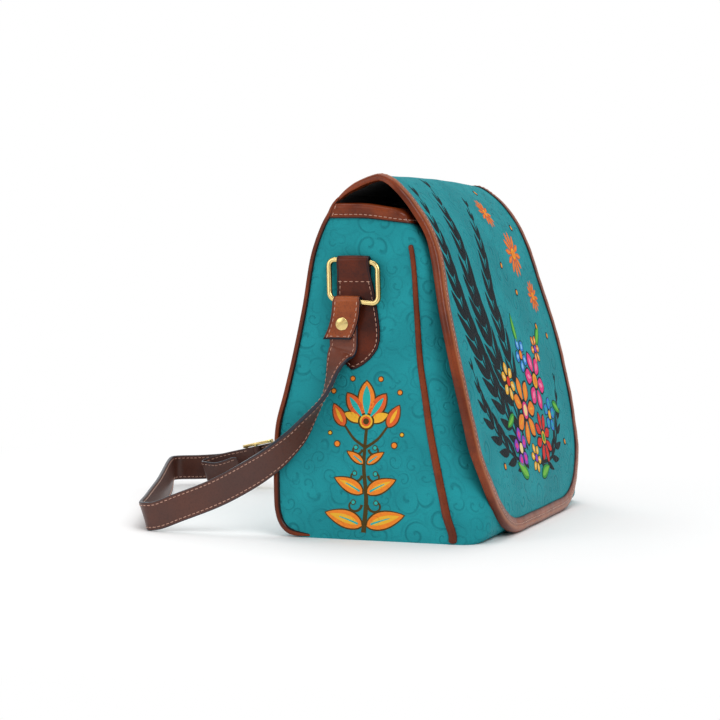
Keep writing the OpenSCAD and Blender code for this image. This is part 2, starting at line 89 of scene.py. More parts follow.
# Curves
def spline(points, count):
    """Centripetal Catmull-Rom through points, resampled to count even steps."""
    p = np.asarray(points, float)
    p = np.vstack([2 * p[0] - p[1], p, 2 * p[-1] - p[-2]])
    out = []
    for i in range(1, len(p) - 2):
        p0, p1, p2, p3 = p[i - 1:i + 3]
        t1 = np.linalg.norm(p1 - p0) ** 0.5 + 1e-9
        t2 = t1 + np.linalg.norm(p2 - p1) ** 0.5 + 1e-9
        t3 = t2 + np.linalg.norm(p3 - p2) ** 0.5 + 1e-9
        for t in np.linspace(t1, t2, 24, endpoint=False):
            a1 = p0 * (t1 - t) / t1 + p1 * t / t1
            a2 = p1 * (t2 - t) / (t2 - t1) + p2 * (t - t1) / (t2 - t1)
            a3 = p2 * (t3 - t) / (t3 - t2) + p3 * (t - t2) / (t3 - t2)
            b1 = a1 * (t2 - t) / t2 + a2 * t / t2
            b2 = a2 * (t3 - t) / (t3 - t1) + a3 * (t - t1) / (t3 - t1)
            out.append(b1 * (t2 - t) / (t2 - t1) + b2 * (t - t1) / (t2 - t1))
    out.append(p[-2])
    return evenly(np.array(out), count)


def run_along(path):
    """How far along a path each of its points lies."""
    return np.concatenate([[0], np.cumsum(np.linalg.norm(np.diff(path, axis=0), axis=1))])


def evenly(path, count):
    path = np.asarray(path, float)
    run = run_along(path)
    want = np.linspace(0, run[-1], count)
    return np.stack([np.interp(want, run, path[:, k]) for k in range(path.shape[1])], axis=1)


def length_of(path):
    return float(np.linalg.norm(np.diff(path, axis=0), axis=1).sum())


def unit(v):
    v = np.asarray(v, float)
    return v / (np.linalg.norm(v, axis=-1, keepdims=True) + 1e-12)


def tangents(path):
    return unit(np.gradient(np.asarray(path, float), axis=0))


def smooth_table(values):
    """A smooth curve through one of the level tables, as a function of height."""
    fine = spline(np.stack([LEVELS, values], axis=1), 900)
    order = np.argsort(fine[:, 0])
    return lambda z: np.interp(z, fine[order, 0], fine[order, 1])


back_y, front_y, seam_y = smooth_table(BACK_Y), smooth_table(FRONT_Y), smooth_table(SEAM_Y)


# Meshes
def link(name, mesh):
    obj = bpy.data.objects.new(name, mesh)
    bpy.context.scene.collection.objects.link(obj)
    return obj


def build(name, verts, faces, mat=None, uv=None, edge=None, sharp=40, tint=None):
    """A mesh from points in mm, with an optional UV per point and point attributes."""
    mesh = bpy.data.meshes.new(name)
    mesh.from_pydata([tuple(c * MM for c in v) for v in verts], [], faces)
    if uv is not None:
        layer = mesh.uv_layers.new(name="UVMap")
        table = np.asarray(uv, float)
        index = np.empty(len(mesh.loops), int)
        mesh.loops.foreach_get("vertex_index", index)
        layer.data.foreach_set("uv", table[index].ravel())
    if edge is not None:
        attr = mesh.attributes.new("edge", "FLOAT", "POINT")
        attr.data.foreach_set("value", np.asarray(edge, float))
    if tint is not None:
        attr = mesh.attributes.new("tint", "FLOAT_COLOR", "POINT")
        attr.data.foreach_set("color", np.asarray(tint, float).ravel())
    bm = bmesh.new()
    bm.from_mesh(mesh)
    bmesh.ops.recalc_face_normals(bm, faces=bm.faces)
    bm.to_mesh(mesh)
    bm.free()
    mesh.shade_smooth()
    mesh.set_sharp_from_angle(angle=math.radians(sharp))
    if mat:
        mesh.materials.append(mat)
    return link(name, mesh)


def slab(outer, inner, uv=None):
    """Closed sheet between two grids (rows, cols, 3). Returns verts, faces, uv."""
    n, m = outer.shape[:2]
    verts = np.concatenate([outer.reshape(-1, 3), inner.reshape(-1, 3)])
    s = n * m
    faces = []
    for i in range(n - 1):
        for j in range(m - 1):
            a, b, c, d = i * m + j, i * m + j + 1, (i + 1) * m + j + 1, (i + 1) * m + j
            faces.append((a, b, c, d))
            faces.append((s + d, s + c, s + b, s + a))
    rim = [j for j in range(m)] + [i * m + m - 1 for i in range(1, n)]
    rim += [(n - 1) * m + j for j in range(m - 2, -1, -1)] + [i * m for i in range(n - 2, 0, -1)]
    for k, a in enumerate(rim):
        b = rim[(k + 1) % len(rim)]
        faces.append((b, a, a + s, b + s))
    if uv is not None:
        uv = np.concatenate([uv.reshape(-1, 2), uv.reshape(-1, 2)])
    return verts, faces, uv


def sweep(sections, loop=False):
    """Closed rings (n, m, 3) joined in order, with end faces unless they loop. Gives verts and faces."""
    n, m = sections.shape[:2]
    verts = sections.reshape(-1, 3)
    faces = []
    for i in range(n if loop else n - 1):
        for j in range(m):
            k, i2 = (j + 1) % m, (i + 1) % n
            faces.append((i * m + j, i * m + k, i2 * m + k, i2 * m + j))
    if not loop:
        faces.append(tuple(range(m - 1, -1, -1)))
        faces.append(tuple((n - 1) * m + j for j in range(m)))
    return verts, faces


def frames(path, normal):
    """Tangent, given-side normal made square to it, and the third axis, along a path."""
    t = tangents(path)
    n = np.asarray(normal, float)
    n = np.broadcast_to(n, t.shape)
    n = unit(n - (n * t).sum(1, keepdims=True) * t)
    return t, n, np.cross(t, n)


def strip_profile(thick, round_r=0.7, crown=0.0, border=0.25):
    """Rounded flat leather section: x is share * (half width - r) + off, and edge is 1 on painted edges."""
    ht, steps = thick / 2, 4
    r = min(round_r, ht * 0.95)
    rows = []
    for sx, sy, a0 in ((1, 1, 0), (-1, 1, 90), (-1, -1, 180), (1, -1, 270)):
        for k in range(steps + 1):
            a = math.radians(a0 + 90 * k / steps)
            rows.append((sx, r * math.cos(a), sy * (ht - r) + r * math.sin(a), abs(math.cos(a)) ** 0.7))
        if a0 in (0, 180):
            for f in (0.96, 0.9, 0.66, 0.33, 0, -0.33, -0.66, -0.9, -0.96):
                paint = border if abs(f) > 0.95 else 0.2 if abs(f) > 0.8 else 0.0
                rows.append((sy * f, 0, sy * (ht + crown * (1 - f * f)), paint))
    return np.array(rows).T, r


def strip(name, path, normal, halves, thick, mat, side=None, round_r=0.7, crown=0.0, border=0.25, tip=0):
    """A flat leather part along a path. halves is its half width, or (low side, high side) of each ring.
    border is how much paint its faces' borders take, and tip how many of its first rings are painted."""
    (share, off, up, edge), r = strip_profile(thick, round_r, crown, border)
    t, n, b = frames(path, normal)
    if side is not None:
        b = np.broadcast_to(np.asarray(side, float), t.shape)
        n = np.broadcast_to(np.asarray(normal, float), t.shape)
    low, high = halves if isinstance(halves, tuple) else (halves, halves)
    low, high = (np.broadcast_to(np.asarray(h, float), (len(path),))[:, None] for h in (low, high))
    reach = np.where(share[None, :] > 0, high, low)
    x = share * np.maximum(reach - r, 0.01) + off
    rings = path[:, None] + b[:, None] * x[..., None] + n[:, None] * up[None, :, None]
    verts, faces = sweep(rings)
    run = run_along(path)
    uv = np.stack([x, np.broadcast_to(run[:, None], x.shape)], axis=2) * CM
    painted = np.maximum(edge[None, :], (np.arange(len(path)) < tip)[:, None])
    return build(name, verts, faces, mat, uv.reshape(-1, 2), painted.ravel(), sharp=50)


def mirror_x(obj, name):
    """A copy of a finished piece on the other side of the middle plane."""
    mesh = obj.data.copy()
    mesh.name = name
    co = np.empty(len(mesh.vertices) * 3)
    mesh.vertices.foreach_get("co", co)
    co[0::3] *= -1
    mesh.vertices.foreach_set("co", co)
    mesh.flip_normals()
    mesh.update()
    return link(name, mesh)


def join(name, objs):
    """Several objects of one material list made one mesh."""
    bpy.ops.object.select_all(action="DESELECT")
    for o in objs:
        o.select_set(True)
    bpy.context.view_layer.objects.active = objs[0]
    bpy.ops.object.join()
    objs[0].name = name
    objs[0].data.name = name
    return objs[0]


# Shader helpers
def feed(tree, socket, value):
    """Links a socket to what feeds it, or sets its value."""
    if isinstance(value, Sock):
        value = value.socket
    if isinstance(value, bpy.types.NodeSocket):
        tree.links.new(value, socket)
    else:
        socket.default_value = value


def add_node(tree, kind, settings=None, inputs=None):
    """A node whose settings are made first, and then its sockets linked or set."""
    node = tree.nodes.new(kind)
    for key, value in (settings or {}).items():
        setattr(node, key, value)
    for key, value in (inputs or {}).items():
        feed(tree, node.inputs[key], value)
    return node


class Sock:
    """A value socket that adds Math nodes when Python operators are used on it."""

    def __init__(self, shader, socket):
        self.shader, self.socket = shader, socket


def operator(kind, reflected=False):
    """A method of Sock that adds a Math node, its operands swapped where it is a reflected form."""
    def method(self, other=None):
        return self.shader.math(kind, *((other, self) if reflected else (self, other)))
    return method


for word, kind in (("add", "ADD"), ("sub", "SUBTRACT"), ("mul", "MULTIPLY"), ("truediv", "DIVIDE")):
    setattr(Sock, f"__{word}__", operator(kind))
    setattr(Sock, f"__r{word}__", operator(kind, reflected=True))
for word, kind in (("abs", "ABSOLUTE"), ("sin", "SINE"), ("fract", "FRACT"), ("max", "MAXIMUM"),
                   ("atan2", "ARCTAN2")):
    setattr(Sock, word, operator(kind))


class Shader:
    """One material with a Principled shader, filled in by small calls."""

    def __init__(self, name, roughness=0.5, **inputs):
        self.mat = bpy.data.materials.new(name)
        self.mat.use_nodes = True
        self.tree = self.mat.node_tree
        self.bsdf = self.tree.nodes["Principled BSDF"]
        self.set("Roughness", roughness)
        for key, value in inputs.items():
            self.set(key.replace("_", " "), value)

    def set(self, key, value):
        feed(self.tree, self.bsdf.inputs[key], value)

    def node(self, kind, settings=None, inputs=None, out=0):
        return Sock(self, add_node(self.tree, kind, settings, inputs).outputs[out])

    def math(self, op, a, b=None):
        return self.node("ShaderNodeMath", {"operation": op}, {0: a} if b is None else {0: a, 1: b})

    def clamp(self, a):
        return self.node("ShaderNodeMath", {"operation": "ADD", "use_clamp": True}, {0: a, 1: 0.0})

    def smooth(self, value, low, high):
        return self.node("ShaderNodeMapRange", {"interpolation_type": "SMOOTHSTEP"},
                         {"Value": value, "From Min": low, "From Max": high})

    def mix(self, factor, a, b):
        a, b = ((*c, 1) if isinstance(c, tuple) else c for c in (a, b))
        return self.node("ShaderNodeMix", {"data_type": "RGBA"}, {0: factor, 6: a, 7: b}, 2).socket

    def vector(self, op, *terms):
        return self.node("ShaderNodeVectorMath", {"operation": op}, dict(enumerate(terms))).socket

    def split(self, vector):
        parts = add_node(self.tree, "ShaderNodeSeparateXYZ", None, {0: vector}).outputs
        return [Sock(self, part) for part in parts]

    def coords(self, which="Object"):
        return self.node("ShaderNodeTexCoord", out=which).socket

    def noise(self, vec, scale, detail=3.0, rough=0.55, out=0):
        return self.node("ShaderNodeTexNoise", None,
                         {"Vector": vec, "Scale": scale, "Detail": detail, "Roughness": rough}, out)

    def attribute(self, name, out="Fac"):
        return self.node("ShaderNodeAttribute", {"attribute_name": name}, None, out)

    def bump(self, height, strength, distance):
        self.set("Normal", self.node("ShaderNodeBump", None,
                                     {"Height": height, "Strength": strength, "Distance": distance}).socket)


def srgb(r, g, b):
    """An 8-bit screen colour as the linear colour that a shader wants."""
    return tuple((c / 255 / 12.92) if c / 255 <= 0.04045 else ((c / 255 + 0.055) / 1.055) ** 2.4
                 for c in (r, g, b))


# Finishes
TEAL, TEAL_LIT = srgb(38, 152, 160), srgb(60, 180, 187)
TEAL_DEEP, TEAL_DARK = srgb(24, 106, 115), srgb(22, 83, 92)
PAINTED_HIGHLIGHT_BROWN, SHADED_GOLD = srgb(176, 104, 56), srgb(168, 112, 44)


def scroll_relief(sh, uv, cell, seed):
    """Tooled scrollwork: a curling groove in each cell of a grid, as height 0 to 1."""
    moved = sh.node("ShaderNodeMapping", None, {"Vector": uv, "Location": (seed, seed * 0.37, 0)}).socket
    warp = sh.noise(moved, 0.5 / cell, 1.0, 0.4, out=1)
    bent = sh.vector("MULTIPLY_ADD", warp, (0.5 * cell,) * 3, moved)
    cells = add_node(sh.tree, "ShaderNodeTexVoronoi", {"voronoi_dimensions": "2D"},
                     {"Vector": bent, "Scale": 1 / cell, "Randomness": 0.8}).outputs
    away = sh.vector("SUBTRACT", bent, cells["Position"])
    x, y, _ = sh.split(away)
    hue, hand, _ = sh.split(cells["Color"])
    radius = sh.node("ShaderNodeVectorMath", {"operation": "LENGTH"}, {0: away}, "Value") / cell
    side = sh.math("SIGN", hand - 0.5)
    turn = y.atan2(x) * side / math.tau
    groove = ((turn + hue + radius * 3.4).fract() - 0.5).abs() * 2
    line = 1 - sh.smooth(groove, 0.06, 0.34)
    inside = 1 - sh.smooth(radius, 0.42, 0.6)
    rim = 1 - sh.smooth((radius - 0.56).abs(), 0.0, 0.07)
    return line * inside + rim * 0.35


def teal_leather(name, tint=False):
    """Leather tooled with scrollwork, with painted shade in its grooves, painted over where tint is set."""
    sh = Shader(name, 0.55, Specular_IOR_Level=0.05)
    uv = sh.coords("UV")
    big = scroll_relief(sh, uv, 1.9, 3.1)
    small = scroll_relief(sh, uv, 1.15, 8.7)
    pick = sh.smooth(sh.noise(uv, 0.34, 1.0), 0.42, 0.58)
    carved = big * pick + small * 0.7 * (1 - pick)
    grain = sh.noise(uv, 16.0, 4.0, 0.65)
    cloudy = sh.noise(uv, 0.25, 2.0)
    base = sh.mix(sh.smooth(cloudy, 0.3, 0.75) * 0.4 + 0.55, TEAL_DEEP, TEAL)
    # painted shade: the tooled grooves and cell rims are darkened to TEAL_DEEP as though in shadow
    base = sh.mix(sh.clamp(carved * 0.5), base, TEAL_DEEP)
    base = sh.mix(sh.smooth(grain, 0.5, 0.8) * 0.25, base, TEAL_LIT)
    speck = sh.noise(uv, 11.0, 3.0, 0.7)
    base = sh.mix(sh.smooth(speck, 0.52, 0.72) * 0.3, base, TEAL_DARK)
    if tint:
        paint = sh.attribute("tint", "Color").socket
        base = sh.mix(sh.smooth(grain, 0.35, 0.85) * 0.16, paint, TEAL_DEEP)
    sh.set("Base Color", base)
    sh.set("Roughness", 0.46 + grain * 0.16)
    sh.bump(grain * 0.3 - carved, 0.55, 0.0009)
    return sh.mat


def brown_leather(name, light, mid, dark, rough, gloss):
    """Polished leather, dark where its edge attribute is 1, and given a painted highlight where it is below
    0.
    """
    light, mid, dark = (srgb(*colour) for colour in (light, mid, dark))
    sh = Shader(name, rough, Specular_IOR_Level=0.12, Coat_Weight=gloss, Coat_Roughness=0.14)
    pos = sh.coords()
    cloud = sh.noise(pos, 38.0, 3.0, 0.6)
    fine = sh.noise(pos, 900.0, 3.0, 0.6)
    pores = sh.node("ShaderNodeTexVoronoi", None, {"Vector": pos, "Scale": 1500.0})
    base = sh.mix(sh.smooth(cloud, 0.3, 0.7), mid, light)
    base = sh.mix(sh.smooth(fine, 0.45, 0.75) * 0.35, base, dark)
    edge_paint_and_highlight = sh.attribute("edge")
    # painted highlight: lighter brown where the edge attribute is below 0, on the binding's lit outer face
    base = sh.mix(sh.smooth(edge_paint_and_highlight * -1, 0.05, 1.0) * 0.75, base, PAINTED_HIGHLIGHT_BROWN)
    base = sh.mix(sh.smooth(edge_paint_and_highlight, 0.08, 0.85), base, dark)
    sh.set("Base Color", base)
    sh.set("Roughness", rough + fine * 0.16 - 0.05)
    sh.bump(pores * 0.5 + fine * 0.5, 0.25, 0.0004)
    return sh.mat


def strap_leather():
    """Strap: lighter, redder brown high on its ends and darker, greyer brown low where it lies, as painted
    light and shade by height, with dark painted edges.
    """
    sh = Shader("strap leather", 0.5, Specular_IOR_Level=0.3, Coat_Weight=0.3, Coat_Roughness=0.2)
    pos = sh.coords()
    _, y, z = sh.split(pos)
    cloud = sh.noise(pos, 30.0, 3.0)
    fine = sh.noise(pos, 700.0, 3.0)
    # painted light and shade: the strap is lighter and redder higher up, darker and greyer near the ground
    painted_light_by_height = sh.smooth(z, 0.03, 0.13)
    base = sh.mix(painted_light_by_height, srgb(74, 42, 34), srgb(108, 50, 28))
    base = sh.mix(sh.smooth(cloud, 0.35, 0.75) * 0.5, base, srgb(98, 50, 32))
    base = sh.mix(sh.smooth(fine, 0.45, 0.75) * 0.3, base, srgb(46, 26, 24))
    base = sh.mix(sh.smooth(sh.attribute("edge"), 0.3, 0.7), base, srgb(28, 32, 44))
    sh.set("Base Color", base)
    sh.set("Roughness", 0.42 + fine * 0.2)
    sh.bump(fine, 0.3, 0.0004)
    return sh.mat


def cloth(name, colour, lit):
    """Plain woven lining."""
    sh = Shader(name, 0.85, Sheen_Weight=0.08, Sheen_Roughness=0.5, Specular_IOR_Level=0.2)
    x, y, _ = sh.split(sh.coords("UV"))
    weave = (x * 95.0).sin() * 0.5 + (y * 95.0).sin() * 0.5
    base = sh.mix(sh.smooth(weave, -0.4, 0.9), colour, lit)
    base = sh.mix(sh.smooth(sh.noise(sh.coords(), 60.0), 0.4, 0.7) * 0.3, base, colour)
    sh.set("Base Color", base)
    sh.bump(weave, 0.3, 0.0002)
    return sh.mat


def metal(name, colour, rough, scratch):
    """Polished metal, with painted shade on the sides of a ring's wire."""
    sh = Shader(name, rough, Metallic=1.0)
    pos = sh.coords()
    smear = sh.noise(pos, 160.0, 3.0)
    fine = sh.noise(pos, 2200.0, 2.0)
    base = sh.mix(sh.smooth(smear, 0.35, 0.8) * 0.35, colour, tuple(c * 0.62 for c in colour))
    # painted shade: darker gold on the wire's sides, where the edge attribute is 1
    sh.set("Base Color", sh.mix(sh.smooth(sh.attribute("edge"), 0.4, 0.95) * 0.75, base, SHADED_GOLD))
    sh.set("Roughness", rough + smear * 0.12)
    sh.bump(fine, 0.12, scratch)
    return sh.mat


def thread():
    sh = Shader("waxed thread", 0.6, Sheen_Weight=0.2)
    fuzz = sh.noise(sh.coords(), 1500.0, 2.0)
    sh.set("Base Color", sh.mix(sh.smooth(fuzz, 0.3, 0.7), srgb(168, 118, 98), srgb(206, 160, 138)))
    sh.bump(fuzz, 0.3, 0.0002)
    return sh.mat


def board():
    sh = Shader("grey board", 0.9)
    fibre = sh.noise(sh.coords(), 300.0, 4.0)
    sh.set("Base Color", sh.mix(fibre, srgb(70, 68, 66), srgb(110, 106, 100)))
    sh.bump(fibre, 0.3, 0.0003)
    return sh.mat


MAT = {
    "teal": teal_leather("embossed teal leather"),
    "paint": teal_leather("painted ornament on leather", tint=True),
    "bind": brown_leather("binding leather", (132, 56, 20), (94, 35, 12), (36, 17, 13), 0.36, 0.3),
    "tab": brown_leather("tab leather", (96, 37, 16), (57, 22, 13), (18, 17, 25), 0.4, 0.2),
    "fold": brown_leather("folded end leather", (160, 82, 42), (124, 56, 27), (20, 23, 32), 0.4, 0.25),
    "strap": strap_leather(),
    "lining": cloth("black lining", srgb(7, 7, 9), srgb(17, 17, 20)),
    "gold": metal("polished gold metal", srgb(233, 206, 138), 0.16, 0.00008),
    "snap": metal("snap metal", srgb(214, 184, 116), 0.26, 0.0001),
    "thread": thread(),
    "board": board(),
}


# Body shell
def sag(y, z):
    """How far the mouth's edge hangs towards the front."""
    fall = np.clip((12 - np.asarray(y, float)) / 44, 0, 1)
    return 5.0 * fall * fall * (3 - 2 * fall) * np.clip((np.asarray(z, float) - 185) / 31, 0, 1)


def sagged(points):
    points = np.array(points, float)
    points[..., 2] -= sag(points[..., 1], points[..., 2])
    return points


ROWS = np.concatenate([[0, 0.5, 1.1, 1.8, 2.6, 3.8, 5.2, 6.8, 8.8, 11.2, 14, 17.5, 21.5, 26, 31],
                       np.linspace(37, 203.9, 40), np.linspace(206, 216.5, 5)])


def waves(a, b, size):
    """Small hand-sewn unevenness, the same each run."""
    return size * (np.sin(a * 0.13 + b * 0.05) * 0.5 + np.sin(a * 0.047 - b * 0.11 + 1.3) * 0.8
                   + np.sin(b * 0.31 + a * 0.02) * 0.3)


def gusset_x(y, z):
    """Outer face of the left gusset at a place, as a distance from the middle plane."""
    lo, hi = seam_y(z), back_y(z)
    f = np.clip((y - lo) / (hi - lo), 0, 1)
    puff = np.sin(np.pi * f) ** 0.7 * np.sin(np.pi * np.clip(z / 165, 0, 1)) ** 0.8
    return half_at(z) + puff * (1.1 + waves(y, z, 0.25))


def make_gusset():
    cols = np.concatenate([[0, 0.02, 0.05], np.linspace(0.1, 0.9, 15), [0.95, 0.98, 1]])
    z, f = np.meshgrid(ROWS, cols, indexing="ij")
    y = seam_y(z) + f * (back_y(z) - 0.3 - seam_y(z))
    outer = np.stack([-gusset_x(y, z), y, z], axis=2)
    inner = np.stack([-(half_at(z) - WALL), y, z], axis=2)
    uv = np.stack([y, z], axis=2) * CM
    verts, faces, uv = slab(sagged(outer), sagged(inner), uv)
    return build("gusset_leather_left", verts, faces, MAT["teal"], uv)


def u_line(z, off, sides=6, arc=9, front=34):
    """Outline of seam, rounded front corners and front at a height, moved out by off."""
    w, p, f = half_at(z), seam_y(z), front_y(z)
    r = 0.8 * (p - f)
    pts = [(-(w + off), p + (f + r - p) * t) for t in np.linspace(0, 1, sides, endpoint=False)]
    pts += [(-(w - r) + (r + off) * math.cos(a), f + r + (r + off) * math.sin(a))
            for a in np.linspace(math.pi, 1.5 * math.pi, arc)]
    pts += [((w - r) * t, f - off) for t in np.linspace(-1, 1, front)[1:-1]]
    half = [(-x, y) for x, y in pts[:sides + arc]]
    return np.array(pts + half[::-1])


def make_front():
    def ring(z, off):
        line = u_line(z, off)
        return np.column_stack([line, np.full(len(line), z)])
    outer = np.array([ring(z, 0) for z in ROWS])
    inner = np.array([ring(z, -WALL) for z in ROWS])
    run = np.concatenate([np.zeros((len(ROWS), 1)),
                          np.cumsum(np.linalg.norm(np.diff(outer, axis=1), axis=2), axis=1)], axis=1)
    run -= run[:, -1:] / 2
    uv = np.stack([run + 400, outer[..., 2]], axis=2) * CM
    verts, faces, uv = slab(sagged(outer), sagged(inner), uv)
    return build("front_leather", verts, faces, MAT["teal"], uv)


# Down the outer face of the back and round under the base: y, z
BACK_LINE = [(27.6, 217.4), (30.2, 211.6), (34.4, 203.9), (41.0, 185.1), (46.4, 150.4), (53.0, 116.0),
             (58.0, 93.7), (63.0, 73.0), (63.8, 54.5), (63.4, 32.0), (62.2, 17.0), (59.4, 8.0),
             (54.6, 3.0), (48.5, 0.7), (39.0, 0.05)]


def back_bulge(x, k):
    return 2.6 * (1 - (x / 128) ** 2) * np.sin(np.pi * np.clip(k, 0, 1)) ** 1.2


def make_back():
    path = spline(BACK_LINE[1:], 76)
    t = tangents(path)
    normal = np.stack([-t[:, 1], t[:, 0]], axis=1)
    cols = np.linspace(-1, 1, 41)
    outer, inner, uv = [], [], []
    for k, (q, n) in enumerate(zip(path, normal)):
        w = half_at(q[1])
        x = cols * w
        lift = back_bulge(x, k / 60) + waves(x, q[1], 0.15) * math.sin(math.pi * min(k / 66, 1))
        outer.append(np.stack([x, q[0] + lift * n[0], np.maximum(q[1] + lift * n[1], 0.02)], axis=1))
        z_in = max(q[1] - WALL * n[1], 0.3)
        inner.append(np.stack([x, np.full_like(x, q[0] - WALL * n[0]), np.full_like(x, z_in)], axis=1))
        uv.append(np.stack([x - 400, np.full_like(x, -k * length_of(path) / 75)], axis=1) * CM)
    verts, faces, uv = slab(np.array(outer), np.array(inner), np.array(uv))
    return build("back_leather", verts, faces, MAT["teal"], uv)


def make_base():
    y = np.linspace(-70, 39.2, 12)
    cols = np.linspace(-1, 1, 21)
    top, low, uv = [], [], []
    for v in y:
        w = 125.8 - (max(-58 - v, 0) / 14) ** 2 * 10
        top.append(np.stack([cols * w, np.full(21, v), np.full(21, 2.4)], axis=1))
        low.append(np.stack([cols * w, np.full(21, v), np.full(21, 0.0)], axis=1))
        uv.append(np.stack([cols * w, np.full(21, v + 900)], axis=1) * CM)
    verts, faces, uv = slab(np.array(top), np.array(low), np.array(uv))
    return build("base_leather", verts, faces, MAT["teal"], uv)


def cup_ring(z, inset):
    line = u_line(z, -WALL - inset, sides=4, arc=6, front=10)
    w, b = half_at(z) - WALL - inset, back_y(z) - WALL - inset
    back = [(w * t, b) for t in np.linspace(1, -1, 9)]
    side = [(w, line[-1][1] + (b - line[-1][1]) * t) for t in (0.33, 0.66)]
    other = [(-x, y) for x, y in side[::-1]]
    pts = np.array(list(line) + side + back + other)
    return sagged(np.column_stack([pts, np.full(len(pts), z)]))


def make_lining():
    heights = np.concatenate([[6.2, 9, 14, 22], np.linspace(32, 216.4, 24)])
    rings = [cup_ring(z, 0.1) for z in heights] + [cup_ring(z, 0.9) for z in heights[::-1][:-1]]
    floor = cup_ring(6.2, 0.9)
    floor[:, 2] += 0.8
    rings.append(floor)
    verts, faces = sweep(np.array(rings))
    uv = np.stack([verts[:, 0] + verts[:, 1] * 0.7, verts[:, 2] + verts[:, 1] * 0.3], axis=1) * CM
    return build("lining_cup", verts, faces, MAT["lining"], uv)


# Mouth band
BAND_LOW = 208.4


def band_path():
    """Plan outline that the band follows, from the left back corner to the right one."""
    line = u_line(210.0, 0.0, sides=5, arc=7, front=24)
    lead = [(-half_at(210), y) for y in np.linspace(29.4, line[0][1], 14, endpoint=False)]
    tail = [(-x, y) for x, y in lead[::-1]]
    return np.array(lead + list(line) + tail)


def band_point(q, n, off, z):
    """A point of the band: q is on the outline at 210 mm, moved for its own height."""
    lean_in = (z - 210) * LEAN
    slope = 0.8 * min(max((-q[1] - 12) / 4, 0), 1)
    pos = np.array([q[0] - math.copysign(lean_in, q[0]) * (abs(n[0]) > 0.3), q[1] + (z - 210) * slope, z])
    pos[1] -= 0.42 * (z - 210) * min(max((q[1] - 5) / 24, 0), 1)
    pos[0] += n[0] * off
    pos[1] += n[1] * off
    pos[2] -= float(sag(pos[1], z))
    return pos


# Round the band's section from its low outer edge: off from the outline, height, and how dark it is there:
# edge paint on its low edge and inner faces, and some darkening across its outer face, most in the crease of
# its stitch line
BAND_SECTION = [(0.25, BAND_LOW, 1), (1.3, BAND_LOW - 0.1, 1), (1.75, BAND_LOW + 0.6, 0.55),
                (1.85, 210.0, 0.15), (1.6, 211.2, 0.3), (1.95, 212.3, 0.05), (2.5, 213.6, 0),
                (2.8, 215.0, 0), (2.5, 216.6, 0), (1.3, 217.8, 0.05), (-0.8, 218.3, 0.15),
                (-2.9, 217.9, 0.1), (-4.5, 216.4, 0), (-4.9, 213.0, 0), (-4.6, 210.0, 0),
                (-4.3, BAND_LOW, 0.8), (-3.35, BAND_LOW, 1), (-3.3, 211.0, 1), (-3.2, 216.9, 1),
                (0.1, 216.9, 1), (0.2, 211.0, 1)]


def make_band():
    path = band_path()
    t = tangents(path)
    normal = np.stack([t[:, 1], -t[:, 0]], axis=1)
    rings = []
    for k, (q, n) in enumerate(zip(path, normal)):
        puff = 0.22 * math.sin(k * 0.9) + 0.12 * math.sin(k * 2.3 + 1)
        rings.append([band_point(q, n, off + (puff if 212 < z < 218 and off > 0 else 0), z)
                      for off, z, _ in BAND_SECTION])
    verts, faces = sweep(np.array(rings))
    edge = [paint for _, _, paint in BAND_SECTION] * len(path)
    return build("mouth_band_leather", verts, faces, MAT["bind"], None, edge, sharp=60)


# Piping
def tube(name, path, outward, radius, mat, wide=None, swell=None, sides=16):
    """A sewn cord with rounded ends, with painted shade on its sides where it meets the panels."""
    path = np.asarray(path, float)
    outward = np.broadcast_to(np.asarray(outward, float), path.shape)
    wide = np.full(len(path), radius) if wide is None else np.asarray(wide, float)
    run = run_along(path)
    keep = (run >= radius) & (run <= run[-1] - radius)
    path, outward, wide = path[keep], outward[keep], wide[keep]
    t, n, b = frames(path, outward)
    turns = np.radians([80, 60, 38, 18])
    first = [(path[0] - t[0] * radius * math.sin(a), math.cos(a)) for a in turns]
    last = [(path[-1] + t[-1] * radius * math.sin(a), math.cos(a)) for a in turns[::-1]]
    centre = np.array([c for c, _ in first] + list(path) + [c for c, _ in last])
    swell = np.ones(len(path)) if swell is None else swell[keep]
    size = np.concatenate([[f * swell[0] for _, f in first], swell, [f * swell[-1] for _, f in last]])
    size = size[:, None, None]
    pick = np.clip(np.arange(len(centre)) - len(first), 0, len(path) - 1)
    ang = np.linspace(0, math.tau, sides, endpoint=False)
    side, up = np.sin(ang)[None, :, None] * wide[pick][:, None, None], np.cos(ang)[None, :, None] * radius
    rings = centre[:, None] + size * (b[pick][:, None] * side + n[pick][:, None] * up)
    # painted shade: the cord's sides, where it meets the panels, are marked dark
    edge = np.clip((np.abs(np.where(ang > math.pi, ang - math.tau, ang)) - 1.15) / 0.5, 0, 1)
    verts, faces = sweep(rings)
    return build(name, verts, faces, mat, None, np.tile(edge, len(centre)))


def make_back_piping():
    line = spline([(22.9, 223.0), (25.4, 220.3)] + BACK_LINE[:11]
                  + [(59.4, 9.2), (55.4, 4.8), (50.6, 2.8), (44.8, 2.05), (38.0, 1.4)], 160)
    thin = np.where(line[:, 1] < 5, np.interp(line[:, 0], [38, 52], [0.35, 1.0]), 1.0)
    path = np.array([(-(half_at(z) + 1.3 * f - 0.8), y - 0.1, z) for (y, z), f in zip(line, thin)])
    t = tangents(line)
    outward = np.stack([np.full(len(line), -1.0), -t[:, 1], t[:, 0]], axis=1)
    swell = np.interp(line[:, 1], [0, 60, 150, 214, 222], [1.16, 1.2, 1.0, 0.95, 0.5]) * thin
    return tube("back_piping_left", path, outward, PIPING, MAT["bind"], swell=swell)


def make_front_piping():
    z = np.linspace(0.4, 191.5, 110)
    path = np.stack([-(half_at(z) + 0.35), seam_y(z), z], axis=1)
    wide = 1.7 + 1.1 * np.clip((170 - z) / 150, 0, 1)
    return tube("front_piping_left", path, (-1, 0, 0), 1.5, MAT["bind"], wide)


# Tabs, rings, folded ends, screws
TILT = math.atan(LEAN)
